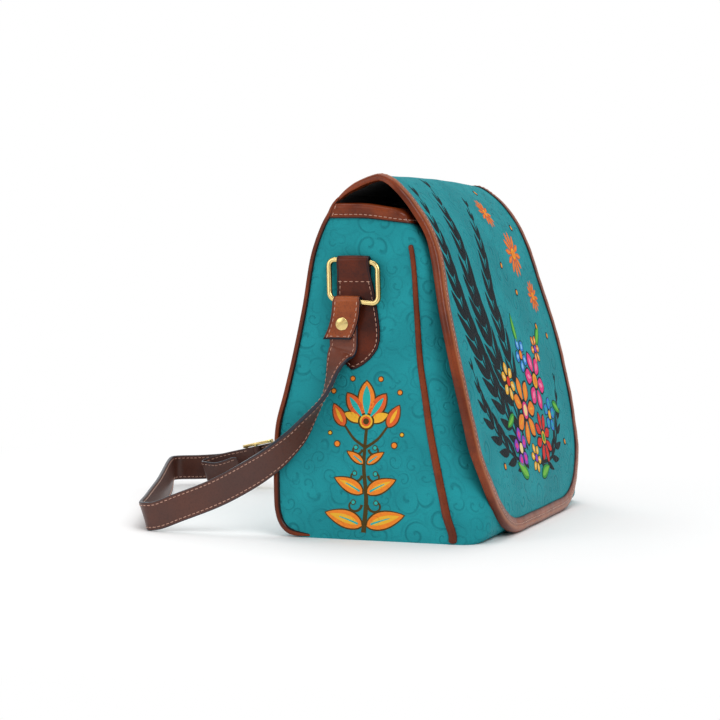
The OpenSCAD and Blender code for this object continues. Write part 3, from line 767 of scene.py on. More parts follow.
# Up the tab: height, and how far its front and rear edges stand from the ring's middle
TAB_EDGE = [(110.2, 0.9, -0.3), (111.0, 2.6, 1.6), (113.4, 7.2, 4.4), (118, 12.6, 8.6), (123.7, 16.8, 10.6),
            (129.5, 18.4, 11.6), (138, 18.2, 12.0), (150, 16.2, 12.0), (157, 14.8, 11.8), (168, 12.6, 11.4),
            (175, 11.4, 11.0), (184, 11.0, 11.0)]


def on_side(y, s, d):
    """Points of the left gusset's own frame: s runs up its slope, d stands off its face."""
    y, s, d = np.broadcast_arrays(np.asarray(y, float), s, d)
    return np.stack([-BASE_HALF - d * math.cos(TILT) + s * math.sin(TILT), y,
                     d * math.sin(TILT) + s * math.cos(TILT)], axis=-1)


def make_tab():
    bar = RING_Z / math.cos(TILT)
    off = (UP_X - half_at(RING_Z)) * math.cos(TILT)
    tip, sew = TAB_TIP / math.cos(TILT), bar - 13.5
    mid = WIRE + LOOP_PLAY + TAB_SKIN / 2
    ds = [(0.95 + 0.5, s) for s in np.linspace(tip, 150, 34)]
    ds += [(1.3, 156.0), (1.3, 161.0), (1.75, 164.5), (2.6, sew), (3.3, sew + 3.5), (4.9, bar - 5)]
    ds += [(off + mid * math.cos(a), bar + mid * math.sin(a)) for a in np.linspace(-0.15, math.pi, 14)]
    ds += [(0.82, bar - 3.0), (0.82, bar - 8.0), (0.82, sew)]
    ds = spline(ds, 110)
    path = on_side(RING_Y, ds[:, 1], ds[:, 0])
    t = tangents(path)
    normal = np.stack([-t[:, 2], t[:, 1] * 0, t[:, 0]], axis=1)
    back_turn = np.arange(len(ds)) > np.argmax(ds[:, 0])
    heights, front, rear = np.array(TAB_EDGE).T
    front, rear = (np.where(back_turn, TAB_HALF, np.interp(ds[:, 1], heights, side))
                   for side in (front, rear))
    return strip("tab_leather_left", path, normal, (front, rear), TAB_SKIN, MAT["tab"], (0, 1, 0),
                 round_r=0.6, crown=0.25, border=0.8, tip=2)


def ring_path(count=132):
    """The ring's middle line, closed, in its own plane: across and down from the upper bar."""
    hw, c = RING_WIDTH / 2 - WIRE, RING_CORNER
    pts = []
    for cy, cz, a0 in ((hw - c, -c, 0), (-hw + c, -c, 90), (-hw + c, c - RING_DROP, 180),
                       (hw - c, c - RING_DROP, 270)):
        for k in range(7):
            a = math.radians(a0 + 15 * k)
            pts.append((cy + c * math.cos(a), cz + c * math.sin(a)))
    return evenly(pts + pts[:1], count + 1)[:-1]


def make_ring():
    """Wire ring, hung a little askew in its tab, as the strap's weight pulls it back."""
    pts = ring_path()
    skew, hang, power = math.radians(-4.5), 6.0, 2.6
    pts = np.stack([pts[:, 0] * math.cos(skew) - (pts[:, 1] + hang) * math.sin(skew),
                    (pts[:, 1] + hang) * math.cos(skew) - pts[:, 0] * math.sin(skew) - hang], axis=1)
    up = np.array([math.sin(RING_LEAN), 0, math.cos(RING_LEAN)])
    face = np.array([-math.cos(RING_LEAN), 0, math.sin(RING_LEAN)])
    path = np.array([-UP_X, RING_Y, RING_Z]) + pts[:, :1] * np.array([0, 1, 0]) + pts[:, 1:] * up
    t = unit(np.roll(path, -1, axis=0) - np.roll(path, 1, axis=0))
    side = np.cross(t, face)
    ang = np.linspace(0, math.tau, 18, endpoint=False)
    lobe = WIRE * 1.04 / (np.abs(np.cos(ang)) ** power + np.abs(np.sin(ang)) ** power) ** (1 / power)
    rings = path[:, None] + side[:, None] * (np.cos(ang) * lobe)[None, :, None] \
        + face * (np.sin(ang) * lobe)[None, :, None]
    verts, faces = sweep(rings, loop=True)
    # The edge attribute marks the wire's sides, which the metal darkens as painted shade.
    return build("ring_wire_left", verts, faces, MAT["gold"], None, np.tile(np.cos(ang) ** 2, len(path)))


def fold_y(z):
    """Middle of the folded end at a height: it slants back below the bar."""
    drop = np.clip((LOW_Z - z) / 24.3, 0, 1)
    return (RING_Y + PIVOT_Y) / 2 + 1.2 * drop + 5.4 * drop ** 2.6


def make_fold():
    r = WIRE + LOOP_PLAY + END_SKIN / 2
    out = LOW_X + r
    xz = [(out, z) for z in np.linspace(129.9, LOW_Z, 26, endpoint=False)]
    xz += [(LOW_X + r * math.cos(a), LOW_Z + r * math.sin(a)) for a in np.linspace(0, math.pi, 16)]
    xz += [(LOW_X - r, LOW_Z - 1.4), (LOW_X - r + 0.15, LOW_Z - 2.9)]
    xz = np.array(xz)
    path = np.stack([-xz[:, 0], fold_y(xz[:, 1]), xz[:, 1]], axis=1)
    t = tangents(path * [1, 0, 1])
    normal = np.stack([-t[:, 2], t[:, 1] * 0, t[:, 0]], axis=1)
    wide = np.full(len(path), STRAP_W / 2)
    wide[26:42] -= 0.7 * np.sin(np.linspace(0, math.pi, 16))
    return strip("folded_end_left", path, normal, wide, END_SKIN, MAT["fold"], (0, 1, 0),
                 round_r=0.55, crown=0.2, border=0.8, tip=2)


def make_screw():
    """Slotted dome head that stands on the folded end, its slot turned as the hand left it."""
    r, h, slot = 4.25, 1.3, 0.62
    lip = [-slot / r - 0.02, -slot / r, slot / r, slot / r + 0.02]
    u = np.concatenate([np.linspace(-0.995, -0.24, 9), lip, np.linspace(0.24, 0.995, 9)]) * r
    v = np.sin(np.linspace(-math.pi / 2, math.pi / 2, 25))
    uu = np.repeat(u[:, None], 25, axis=1)
    vv = v[None, :] * np.sqrt(r * r - uu ** 2)
    rho = np.sqrt(uu ** 2 + vv ** 2) / r
    top = h * (0.5 + 0.5 * (1 - rho ** 2)) - 0.25 * np.clip((rho - 0.88) / 0.12, 0, 1) ** 2
    top = np.where(np.abs(uu) < slot + 0.001, 0.35, top)
    turn = math.radians(56)
    y = uu * math.cos(turn) - vv * math.sin(turn)
    z = uu * math.sin(turn) + vv * math.cos(turn)
    x0 = -END_OUT
    outer = np.stack([x0 - top, PIVOT_Y + y, PIVOT_Z + z], axis=2)
    inner = np.stack([np.full_like(y, x0 + 0.02), PIVOT_Y + y, PIVOT_Z + z], axis=2)
    verts, faces, _ = slab(outer, inner)
    return build("screw_head_left", verts, faces, MAT["gold"], sharp=35)


# Flap
flap_table = np.array(FLAP_LINE)
flap_run = run_along(flap_table[:, :2])
FLAP_END = flap_run[-1]
flap_fine = spline(flap_table, 700)
fine_run = run_along(flap_fine[:, :2])
fine_run *= FLAP_END / fine_run[-1]
# How far the flap bellies out, and how far its slack far side drops and draws in
BELLY, SLACK_DROP, SLACK_IN = 1.6, 3.4, 3.6


def flap_half_at(s):
    return np.interp(s, fine_run, flap_fine[:, 2])


def flap_point(x, s, h):
    """A point of the flap: x across, s down its line from the back, h above its outer face.
    The leather hangs a little slack on its far side, as a flap does after long use."""
    x, s, h = np.broadcast_arrays(*(np.asarray(v, float) for v in (x, s, h)))
    y, z = np.interp(s, fine_run, flap_fine[:, 0]), np.interp(s, fine_run, flap_fine[:, 1])
    near, e = np.clip(s, 0, FLAP_END), 2.0
    dy = np.interp(near + e, fine_run, flap_fine[:, 0]) - np.interp(near - e, fine_run, flap_fine[:, 0])
    dz = np.interp(near + e, fine_run, flap_fine[:, 1]) - np.interp(near - e, fine_run, flap_fine[:, 1])
    size = np.sqrt(dy * dy + dz * dz)
    ny, nz = dz / size, -dy / size
    over = np.maximum(s - FLAP_END, 0)
    y, z = y + over * dy / size, z + over * dz / size
    half = flap_half_at(np.minimum(s, FLAP_END))
    c, far = np.clip(np.abs(x) / half, 0, 1), np.clip(x / half, 0, 1)
    belly_out = BELLY * (1 - c ** 2.4) * np.sin(np.pi * np.clip((s - 20) / (FLAP_END - 20), 0, 1)) ** 0.8
    h = h + belly_out + waves(x, s, 0.16) * np.clip(s / 30, 0, 1) * (1 - c ** 6)
    h = h - SLACK_DROP * far ** 1.5 * np.exp(-((s - 40) / 24) ** 2)
    x = x - SLACK_IN * far * np.sin(np.pi * np.clip((s - 30) / 150, 0, 1)) ** 2
    return np.stack([x, y + h * ny, z + h * nz], axis=-1)


def flap_sheet(name, top, low, inset, start, mat, cols=61, rows=170, u0=0.0):
    c = np.linspace(-1, 1, cols)
    s = np.linspace(start, FLAP_END - inset, rows)
    cc, ss = np.meshgrid(c, s)
    x = cc * (flap_half_at(ss) - inset)
    uv = np.stack([x + u0, -ss], axis=2) * CM
    verts, faces, uv = slab(flap_point(x, ss, top), flap_point(x, ss, low), uv)
    return build(name, verts, faces, mat, uv)


edge_left = [(-w, s) for w, s in zip(flap_table[:, 2], flap_run)]
edge_low = [(x, FLAP_END + d) for x, d in ((-32, 0.5), (0, 0.7), (32, 0.5))]
edge_line = spline(edge_left + edge_low + [(-x, s) for x, s in edge_left[::-1]], 420)
edge_dir = tangents(edge_line)
edge_out = np.stack([-edge_dir[:, 1], edge_dir[:, 0]], axis=1)


def on_edge(off, h):
    """Points beside the flap's outline: off mm outside it, h above the outer face."""
    q = edge_line + edge_out * np.asarray(off, float)[..., None]
    return flap_point(q[..., 0], q[..., 1], h)


def make_flap_binding():
    n = len(edge_line)
    z = flap_point(edge_line[:, 0], edge_line[:, 1], 0.0)[:, 2]
    fat = np.clip((198 - z) / 14, 0, 1) * np.clip((z - 46) / 22, 0, 1)
    fat = fat * fat * (3 - 2 * fat)
    ripple = np.sin(np.arange(n) * 0.83) * 0.06 + np.sin(np.arange(n) * 0.31 + 2) * 0.08
    # Upper section: way out from the outline, height, edge value; dark above 0, a painted highlight on the
    # lit outer face below 0
    top = [(-BINDING, 0.16, 1.0), (-BINDING + 0.1, 0.75, 0.9), (-BINDING + 0.5, 1.05, 0.55),
           (-BINDING + 1.5, 1.1, -0.1), (-BINDING + 2.6, 1.2, -0.45), (-4.1, 1.3, -0.35),
           (-3.2, 1.28, -0.3), (-1.4, 1.25, -0.75), (-0.1, 0.95, -0.45), (0.75, 0.1, 0.1), (1.15, -1.1, 0.2)]
    low = [(1.1, -0.55, 0.15), (0.55, -0.85, 0.75), (-0.4, -1.0, 0.3), (-2.0, -1.0, 0.1),
           (-BINDING + 0.8, -0.9, 0.2), (-BINDING, -0.5, 1.0), (-BINDING, 0.0, 1.0)]
    run = run_along(edge_line)
    grow = np.interp(np.minimum(run, run[-1] - run), [0, 17], [0.42, 1])
    rings, edge = [], []
    for off, h, e in top:
        out = off * grow if off < 0 else np.full(n, off + TURN_OUT)
        rings.append(on_edge(out, h * grow + ripple * (h > 0.5)))
        edge.append(e)
    for off, part, e in low:
        deep = (-(FLAP_TOTAL + 0.1) - 0.85 * -part - 1.1 * fat * (-part) ** 0.5) * grow
        rings.append(on_edge(off * grow if off < 0 else np.full(n, off + TURN_OUT), deep))
        edge.append(e)
    rings.append(on_edge(np.full(n, -0.2), -(FLAP_TOTAL + 0.1) * grow))
    rings.append(on_edge(np.full(n, -0.2), 0.1))
    edge += [1.0, 1.0]
    verts, faces = sweep(np.stack(rings, axis=1))
    return build("flap_binding_leather", verts, faces, MAT["bind"], None, np.tile(edge, n), sharp=60)


def make_hinge_fold(name, half, top, low, mat):
    """A layer of the stretch that bends where the back runs on into the flap."""
    start = spline(BACK_LINE, 500)
    start = start[start[:, 1] > 210.5][::-1]
    high = flap_point(0, np.linspace(0.0, 9.0, 12), 0.0)[:, 1:]
    path = spline(np.vstack([start[::8], high[1:]]), 30)
    t = tangents(path)
    normal = np.stack([t[:, 1], -t[:, 0]], axis=1)
    x = np.linspace(-half, half, 41)
    outer, inner, uv = [], [], []
    for k, (q, n) in enumerate(zip(path, normal)):
        q = q - n * (0.5 if k < 3 or k > 27 else 0)
        for rows, deep in ((outer, top), (inner, low)):
            y, z = q - deep * n
            rows.append(np.stack([x, np.full_like(x, y), np.full_like(x, z)], axis=1))
        uv.append(np.stack([x, np.full_like(x, -9.0 + (k - 29) * 0.7)], axis=1) * CM)
    verts, faces, uv = slab(np.array(outer), np.array(inner), np.array(uv))
    return build(name, verts, faces, mat, uv)


# Strap
REACH, FAR_X = 250.0, 119.0
TURN_WEIGHT = 30.0  # mm that a heading or roll of 1 counts as, so that the even steps follow turns
# Near run: way out in half widths, shares of the reach and of the screw's height, roll
NEAR = [(0, 0, 1, 0), (0, 0, 0.9143, 0), (-0.008, 0.0002, 0.8857, 0.044),
        (0.28, 0.0086, 0.8529, 0.278), (0.493, 0.0168, 0.8114, 0.478), (0.589, 0.0232, 0.77, 0.6),
        (0.638, 0.0297, 0.725, 0.678), (0.701, 0.0391, 0.6786, 0.778), (0.719, 0.0572, 0.63, 0.889),
        (0.696, 0.0834, 0.5679, 1.056), (0.625, 0.1226, 0.4786, 1.311), (0.525, 0.1647, 0.41, 1.489),
        (0.425, 0.2043, 0.3564, 1.633), (0.238, 0.2791, 0.2764, 1.856), (0.066, 0.372, 0.195, 1.989),
        (-0.072, 0.4916, 0.1157, 2), (-0.127, 0.5484, 0.0786, 2)]
# Run over the ground: side, reach, height, heading, roll
CROSS = [(-1.0461, 0.602, 0.0707, 0.93, 2), (-1.0359, 0.6168, 0.0696, 0.72, 1.93),
         (-1.0125, 0.628, 0.0686, 0.48, 1.85), (-0.9766, 0.6368, 0.0679, 0.31, 1.78),
         (-0.8984, 0.6516, 0.0671, 0.24, 1.73), (-0.7031, 0.6864, 0.0671, 0.235, 1.73),
         (-0.3906, 0.744, 0.0693, 0.235, 1.75), (0, 0.816, 0.0743, 0.235, 1.78),
         (0.3906, 0.892, 0.0829, 0.235, 1.81), (0.6641, 0.948, 0.09, 0.235, 1.88),
         (0.7891, 0.9728, 0.0943, 0.2, 1.94), (0.8555, 0.9836, 0.0964, 0.08, 1.97),
         (0.8969, 0.9824, 0.0971, -0.2, 2), (0.9219, 0.968, 0.0979, -0.55, 2),
         (0.9297, 0.946, 0.0993, -0.85, 2), (0.9297, 0.9144, 0.1021, -1, 2), (0.9297, 0.868, 0.1086, -1, 2)]
# Far run: reach, height, and how far it has come in to the bag's side
FAR = [(0.8108, 0.11754, 0), (0.74, 0.1449, 0), (0.65, 0.1797, 0), (0.56, 0.2144, 0), (0.486, 0.243, 0),
       (0.406, 0.284, 0.4), (0.322, 0.343, 0.82), (0.243, 0.421, 1),
       (0.174, 0.514, 1), (0.114, 0.621, 1), (0.067, 0.729, 1), (0.032, 0.836, 1), (0.009, 0.921, 1),
       (0, 1, 1)]


def side_x(z):
    """How far out the strap hangs beside the bag at a height."""
    return STRAP_X + max(0.0, 0.9 * PIVOT_Z - z) * 0.1


def strap_stations():
    span = REACH - PIVOT_Y
    rows = [(-side_x(z * PIVOT_Z) - out * STRAP_W / 2, PIVOT_Y + r * span, z * PIVOT_Z, 1.0, roll)
            for out, r, z, roll in NEAR]
    rows += [(x * BASE_HALF, y * REACH, z * PIVOT_Z, heading, roll) for x, y, z, heading, roll in CROSS]
    rows += [(FAR_X + (side_x(z * PIVOT_Z) - FAR_X) * m, PIVOT_Y + r * span, z * PIVOT_Z, -1.0, 2.0)
             for r, z, m in FAR]
    fine = spline(np.array(rows) * [1, 1, 1, TURN_WEIGHT, TURN_WEIGHT], 460)
    return fine[:, :3], fine[:, 3] / TURN_WEIGHT, fine[:, 4] / TURN_WEIGHT


def strap_frame():
    """The strap's middle line, with its directions across and out of its face."""
    path, heading, roll = strap_stations()
    along = tangents(path)
    along[0], along[-1] = (0, 0, -1), (0, 0, 1)
    turn = heading * math.pi / 2
    level = np.stack([-np.sin(turn), np.cos(turn), 0 * turn], axis=1)
    across = unit(np.cross(along, level))
    out = unit(np.cross(across, along))
    roll = (roll * math.pi / 2)[:, None]
    return path, across * np.cos(roll) - out * np.sin(roll), out * np.cos(roll) + across * np.sin(roll)


strap_path, strap_across, strap_out = strap_frame()


def on_strap(across, up, pick):
    return strap_path[pick] + strap_across[pick] * across + strap_out[pick] * up


def make_strap():
    (share, off, up, edge), r = strip_profile(STRAP_T, 0.75, 0.12)
    half_width = STRAP_W / 2

    def section(k, half, rise=0.0):
        """The section at a station, or above it in the strap's rounded ends."""
        middle = strap_path[k] + np.array([0, 0, rise])
        x = share * max(half - r, 0.05) + off
        return middle + strap_across[k] * x[:, None] + strap_out[k] * up[:, None]

    ends = [(half_width * math.cos(a), half_width * math.sin(a)) for a in np.radians((82, 66, 50, 34, 18))]
    sections = [section(0, half, rise) for half, rise in ends]
    sections += [section(k, half_width) for k in range(len(strap_path))]
    sections += [section(-1, half, rise) for half, rise in ends[::-1]]
    verts, faces = sweep(np.array(sections))
    run = np.linspace(0, length_of(strap_path), len(sections))
    uv = np.stack(np.broadcast_arrays((share * half_width + off)[None, :], run[:, None]), axis=2) * CM
    return build("strap_leather", verts, faces, MAT["strap"], uv.reshape(-1, 2), np.tile(edge, len(sections)),
                 sharp=50)


# Slider and doubled tail
RUN_TURN = math.radians(-13.09)
TAIL_THICK = 1.4
SLIDE_AT = np.array([FAR_X, 174.65, 23.75])
SLIDER_BAR, SLIDER_HALF, BAR_OFF, BACK_OFF, RAIL = 1.3, 11.0, 4.35, 2.9, 11.1


def on_run(points):
    """Points of the slider's own frame: +Y to the far corner, +Z across the strap, -X inwards."""
    p = np.asarray(points, float)
    c, s = math.cos(RUN_TURN), math.sin(RUN_TURN)
    turned = [p[..., 0], p[..., 1] * c - p[..., 2] * s, p[..., 1] * s + p[..., 2] * c]
    return SLIDE_AT + np.stack(turned, axis=-1)


def rod(a, b, r, sides=12):
    """Rounded bar between two points of the slider's frame, as rings."""
    a, b = np.asarray(a, float), np.asarray(b, float)
    t = unit(b - a)
    side = unit(np.cross(t, (1, 0, 0) if abs(t[0]) < 0.9 else (0, 1, 0)))
    up = np.cross(t, side)
    ang = np.linspace(0, math.tau, sides, endpoint=False)
    ring = np.cos(ang)[:, None] * side + np.sin(ang)[:, None] * up
    steps = [(0.0, 0.35), (0.12 * r, 0.75), (0.45 * r, 0.97), (0.8 * r, 1.0)]
    span = np.linalg.norm(b - a)
    rings = [a + t * d + ring * r * f for d, f in steps]
    rings += [a + t * (span - d) + ring * r * f for d, f in steps[::-1]]
    return np.array(rings)


def make_slider():
    parts = []
    for x, y in ((-BAR_OFF, 0), (BACK_OFF, -SLIDER_HALF), (BACK_OFF, SLIDER_HALF)):
        verts, faces = sweep(on_run(rod((x, y, -RAIL), (x, y, RAIL), SLIDER_BAR)))
        parts.append(build("bar", verts, faces, MAT["gold"], sharp=50))
    reach = SLIDER_HALF + 1.2
    for side in (-1, 1):
        y = np.linspace(-reach, reach, 33)
        soft = np.clip((np.abs(y) - SLIDER_HALF + 1.4) / 2.6, 0, 1) ** 2
        x0 = -BAR_OFF - SLIDER_BAR + 3.4 * (np.abs(y) / reach) ** 1.6 + 0.8 * soft
        x1 = BACK_OFF + SLIDER_BAR - 0.9 * (1 - (np.abs(y) / reach) ** 2) - 0.9 * soft
        rings = []
        for v, lo, hi in zip(y, x0, x1):
            mid, half = (lo + hi) / 2, (hi - lo) / 2
            ang = np.linspace(0, math.tau, 16, endpoint=False)
            px = np.sign(np.cos(ang)) * np.abs(np.cos(ang)) ** 0.5 * half + mid
            pz = np.sign(np.sin(ang)) * np.abs(np.sin(ang)) ** 0.5 * 1.25 + side * RAIL
            rings.append(np.stack([px, np.full(16, v), pz], axis=1))
        verts, faces = sweep(on_run(np.array(rings)))
        parts.append(build("rail", verts, faces, MAT["gold"], sharp=50))
    return join("slider_frame", parts)


def tail_path():
    """The doubled tail in the slider's frame: round the bar, out, and back as an open, sagging loop.
    Rows are the way inwards, the way along, how far it sags and how far it tips out."""
    r = SLIDER_BAR + LOOP_PLAY + TAIL_THICK / 2
    pts = [(-BAR_OFF + r * math.cos(a), r * math.sin(a), 0, 0)
           for a in np.linspace(-0.5 * math.pi, -1.9 * math.pi, 14)]
    pts += [(-2.3, 5.0, 0, 0), (-2.3, 12.0, 0, 0), (-2.3, 22.0, 0, 0), (-2.4, 32.0, 0.2, 0.2),
            (-2.9, 39.0, 0.7, 1)]
    for a in np.linspace(0.25, math.pi - 0.25, 9):
        c, d = math.cos(a), math.sin(a)
        pts.append((-6.9 + 3.9 * c, 41.5 + 3.6 * d, 1.0 + 0.9 * (1 - c), 3 - 2 * c))
    pts += [(-11.6, 39.0, 3.4, 7), (-12.9, 31.0, 4.6, 10), (-12.6, 22.0, 4.4, 9), (-11.4, 13.5, 3.4, 7)]
    return evenly(spline(pts, 400), 150)


def tail_frame():
    """The tail's middle line, its cross direction and its outward direction."""
    flat = tail_path()
    path = on_run(np.column_stack([flat[:, :2], -flat[:, 2]]))
    up, inwards = on_run((0, 0, 1)) - SLIDE_AT, on_run((-1, 0, 0)) - SLIDE_AT
    side = unit(up + flat[:, 3:] * 0.055 * inwards)
    t = tangents(path)
    side = unit(side - (side * t).sum(1, keepdims=True) * t)
    return path, side, unit(np.cross(side, t))


def make_tail():
    path, side, normal = tail_frame()
    half = STRAP_W / 2
    wide = np.full(len(path), half)
    wide[-8:] = half * np.sqrt(np.clip(1 - (np.arange(8) / 8.2) ** 2, 0.02, 1)) * 0.35 + half * 0.65
    return strip("strap_tail_leather", path, normal, wide, TAIL_THICK, MAT["strap"], side,
                 round_r=0.5, crown=0.1)


# Stitches
SEAM_INSET, THREAD_OVER = 2.1, 0.08
SEAM_AT = STRAP_W / 2 - SEAM_INSET


def stitch_shape():
    """One stitch along X, its ends dipping into the leather: a low closed pod."""
    along = np.array([-1.0, -0.86, -0.5, 0.0, 0.5, 0.86, 1.0])
    ang = np.linspace(0, math.tau, 6, endpoint=False)
    rings = []
    for f in along:
        fat = math.sqrt(max(1 - f ** 4, 0.04))
        rings.append(np.stack([np.full(6, f * 1.25), np.cos(ang) * 0.28 * fat,
                               np.sin(ang) * 0.24 * fat + 0.1 - 0.28 * f * f], axis=1))
    verts, faces = sweep(np.array(rings))
    obj = build("stitch", verts, faces, MAT["thread"], sharp=80)
    bpy.context.scene.collection.objects.unlink(obj)
    return obj


def stitch_tree():
    """Sets a stitch every so far along each seam line, lying along it and facing out of the leather."""
    tree = bpy.data.node_groups.new("stitch row", "GeometryNodeTree")
    face = tree.interface
    face.new_socket("Seams", in_out="INPUT", socket_type="NodeSocketGeometry")
    for label, kind in (("Pitch", "Float"), ("Wobble", "Float"), ("Seed", "Int"), ("Stitch", "Object"),
                        ("Thread", "Material")):
        face.new_socket(label, in_out="INPUT", socket_type="NodeSocket" + kind)
    face.new_socket("Stitches", in_out="OUTPUT", socket_type="NodeSocketGeometry")
    given = tree.nodes.new("NodeGroupInput").outputs

    def node(kind, settings=None, **inputs):
        return add_node(tree, kind, settings, {key.replace("_", " "): value for key, value in inputs.items()})

    curve = node("GeometryNodeMeshToCurve", Mesh=given["Seams"])
    spaced = node("GeometryNodeResampleCurve", {"mode": "LENGTH"}, Curve=curve.outputs[0],
                  Length=given["Pitch"])
    tangent = node("GeometryNodeInputTangent")
    out = node("GeometryNodeInputNamedAttribute", {"data_type": "FLOAT_VECTOR"}, Name="out")
    along = node("FunctionNodeAlignRotationToVector", {"axis": "X"}, Vector=tangent.outputs[0])
    facing = node("FunctionNodeAlignRotationToVector", {"axis": "Z", "pivot_axis": "X"},
                  Rotation=along.outputs[0], Vector=out.outputs[0])
    spread = add_node(tree, "ShaderNodeMath", {"operation": "MULTIPLY"}, {0: given["Wobble"], 1: -1.0})
    chance = node("FunctionNodeRandomValue", {"data_type": "FLOAT"}, Seed=given["Seed"])
    floats = [n for n in chance.inputs if n.type == "VALUE"]
    tree.links.new(spread.outputs[0], floats[0])
    tree.links.new(given["Wobble"], floats[1])
    amount = [n for n in chance.outputs if n.type == "VALUE"][0]
    yaw = node("FunctionNodeAxisAngleToRotation", Axis=(0, 0, 1), Angle=amount)
    turned = node("FunctionNodeRotateRotation", {"rotation_space": "LOCAL"}, Rotation=facing.outputs[0],
                  Rotate_By=yaw.outputs[0])
    shape = node("GeometryNodeObjectInfo", Object=given["Stitch"], As_Instance=True)
    placed = node("GeometryNodeInstanceOnPoints", Points=spaced.outputs[0],
                  Instance=shape.outputs["Geometry"], Rotation=turned.outputs[0])
    solid = node("GeometryNodeRealizeInstances", Geometry=placed.outputs[0])
    done = node("GeometryNodeSetMaterial", Geometry=solid.outputs[0], Material=given["Thread"])
    tree.links.new(done.outputs[0], node("NodeGroupOutput").inputs[0])
    return tree


STITCH, STITCH_TREE = stitch_shape(), stitch_tree()


def stitched(name, seams, seed, pitch=3.4, wobble=0.07):
    """One plain mesh of the stitches along seam lines, each given as points and outward directions in mm."""
    mesh = bpy.data.meshes.new(name + "_seams")
    points = np.concatenate([np.asarray(p, float) for p, _ in seams]) * MM
    outs = np.concatenate([np.broadcast_to(unit(o), np.shape(p)) for p, o in seams])
    edges, base = [], 0
    for p, _ in seams:
        edges += [(base + k, base + k + 1) for k in range(len(p) - 1)]
        base += len(p)
    mesh.from_pydata([tuple(v) for v in points], edges, [])
    mesh.attributes.new("out", "FLOAT_VECTOR", "POINT").data.foreach_set("vector", outs.ravel())
    guide = link(name + "_seams", mesh)
    mod = guide.modifiers.new("stitches", "NODES")
    mod.node_group = STITCH_TREE
    values = {"Pitch": pitch * MM, "Wobble": wobble, "Seed": seed, "Stitch": STITCH, "Thread": MAT["thread"]}
    for item in STITCH_TREE.interface.items_tree:
        if item.in_out == "INPUT" and item.name in values:
            mod[item.identifier] = values[item.name]
    seen = bpy.context.evaluated_depsgraph_get()
    plain = bpy.data.meshes.new_from_object(guide.evaluated_get(seen), depsgraph=seen)
    plain.name = name
    guide.modifiers.remove(mod)
    bpy.data.objects.remove(guide)
    bpy.data.meshes.remove(mesh)
    return link(name, plain)


def other_side(seams):
    return [(np.asarray(p) * (-1, 1, 1), np.asarray(o, float) * (-1, 1, 1)) for p, o in seams]


def band_seams():
    path = band_path()
    t = tangents(path)
    normal = np.stack([t[:, 1], -t[:, 0]], axis=1)
    row = np.array([band_point(q, n, 1.85, BAND_LOW + 2.4) for q, n in zip(path, normal)])
    outs = np.column_stack([normal, np.zeros(len(path))])
    inset = path[0] + (path[1] - path[0]) * 0.4
    column = np.array([band_point(inset, normal[0], off, z) for off, z in
                       ((1.9, BAND_LOW + 2.4), (1.75, 211.4), (2.1, 212.6), (2.6, 214), (2.9, 215.4))])
    column = [(column, (-1, 0, 0))]
    return [(row[1:-1], outs[1:-1])] + column + other_side(column)


def flap_seam():
    keep = slice(14, -14)
    line, lifted = on_edge(-3.6, 1.3)[keep], on_edge(-3.6, 2.3)[keep]
    return [(line, lifted - line)]


def tab_seams():
    """Down both edges of the left tab to its point, and across above the ring's foot."""
    sides = TAB_EDGE[1:9]
    outline = spline([(-12.6, 167)] + [(-front, z) for z, front, _ in sides[::-1]] + [(0.3, 110.3)]
                     + [(rear, z) for z, _, rear in sides] + [(11.2, 167)], 150)
    t = tangents(outline)
    line = outline + np.stack([-t[:, 1], t[:, 0]], axis=1) * SEAM_INSET
    line[:, 1] = np.maximum(line[:, 1], 112.6)
    face = np.interp(line[:, 1], [112, 150, 156, 161, 164.5, 167.2], [2.45, 2.45, 2.3, 2.35, 2.85, 3.6])
    across = np.array([(y, 167.4) for y in np.linspace(-10.2, 9.2, 12)])
    out = (-math.cos(TILT), 0, math.sin(TILT))
    return [(on_side(RING_Y + line[:, 0], line[:, 1], face), out),
            (on_side(RING_Y + across[:, 0], across[:, 1], 3.7), out)]


def fold_seams():
    z = np.linspace(132.0, LOW_Z - 1, 12)
    x = np.full(12, -END_OUT - 0.12)
    rows = [np.stack([x, fold_y(z) + side * SEAM_AT, z], axis=1) for side in (-1, 1)]
    y = fold_y(132.0) + np.linspace(-4.6, 4.6, 8)
    rows.append(np.stack([np.full(8, x[0]), y, np.full(8, 132.0)], axis=1))
    return [(row, (-1, 0, 0)) for row in rows]


def strap_seams():
    pick = slice(2, -2)
    return [(on_strap(side * SEAM_AT, face * (STRAP_T / 2 + THREAD_OVER), pick), strap_out[pick] * face)
            for side in (-1, 1) for face in (-1, 1)]


def tail_seams():
    path, side, normal = tail_frame()
    keep = slice(30, -6)
    over = TAIL_THICK / 2 + THREAD_OVER
    return [((path + side * across + normal * over * face)[keep], normal[keep] * face)
            for across in (-SEAM_AT, SEAM_AT) for face in (-1, 1)]


# Painted ornament
def on_gusset(points, lift):
    y, z = points[:, 0], points[:, 1]
    return np.stack([-(gusset_x(y, z) + lift), y, z], axis=1)


def on_flap(points, lift):
    return flap_point(points[:, 0], points[:, 1], lift)


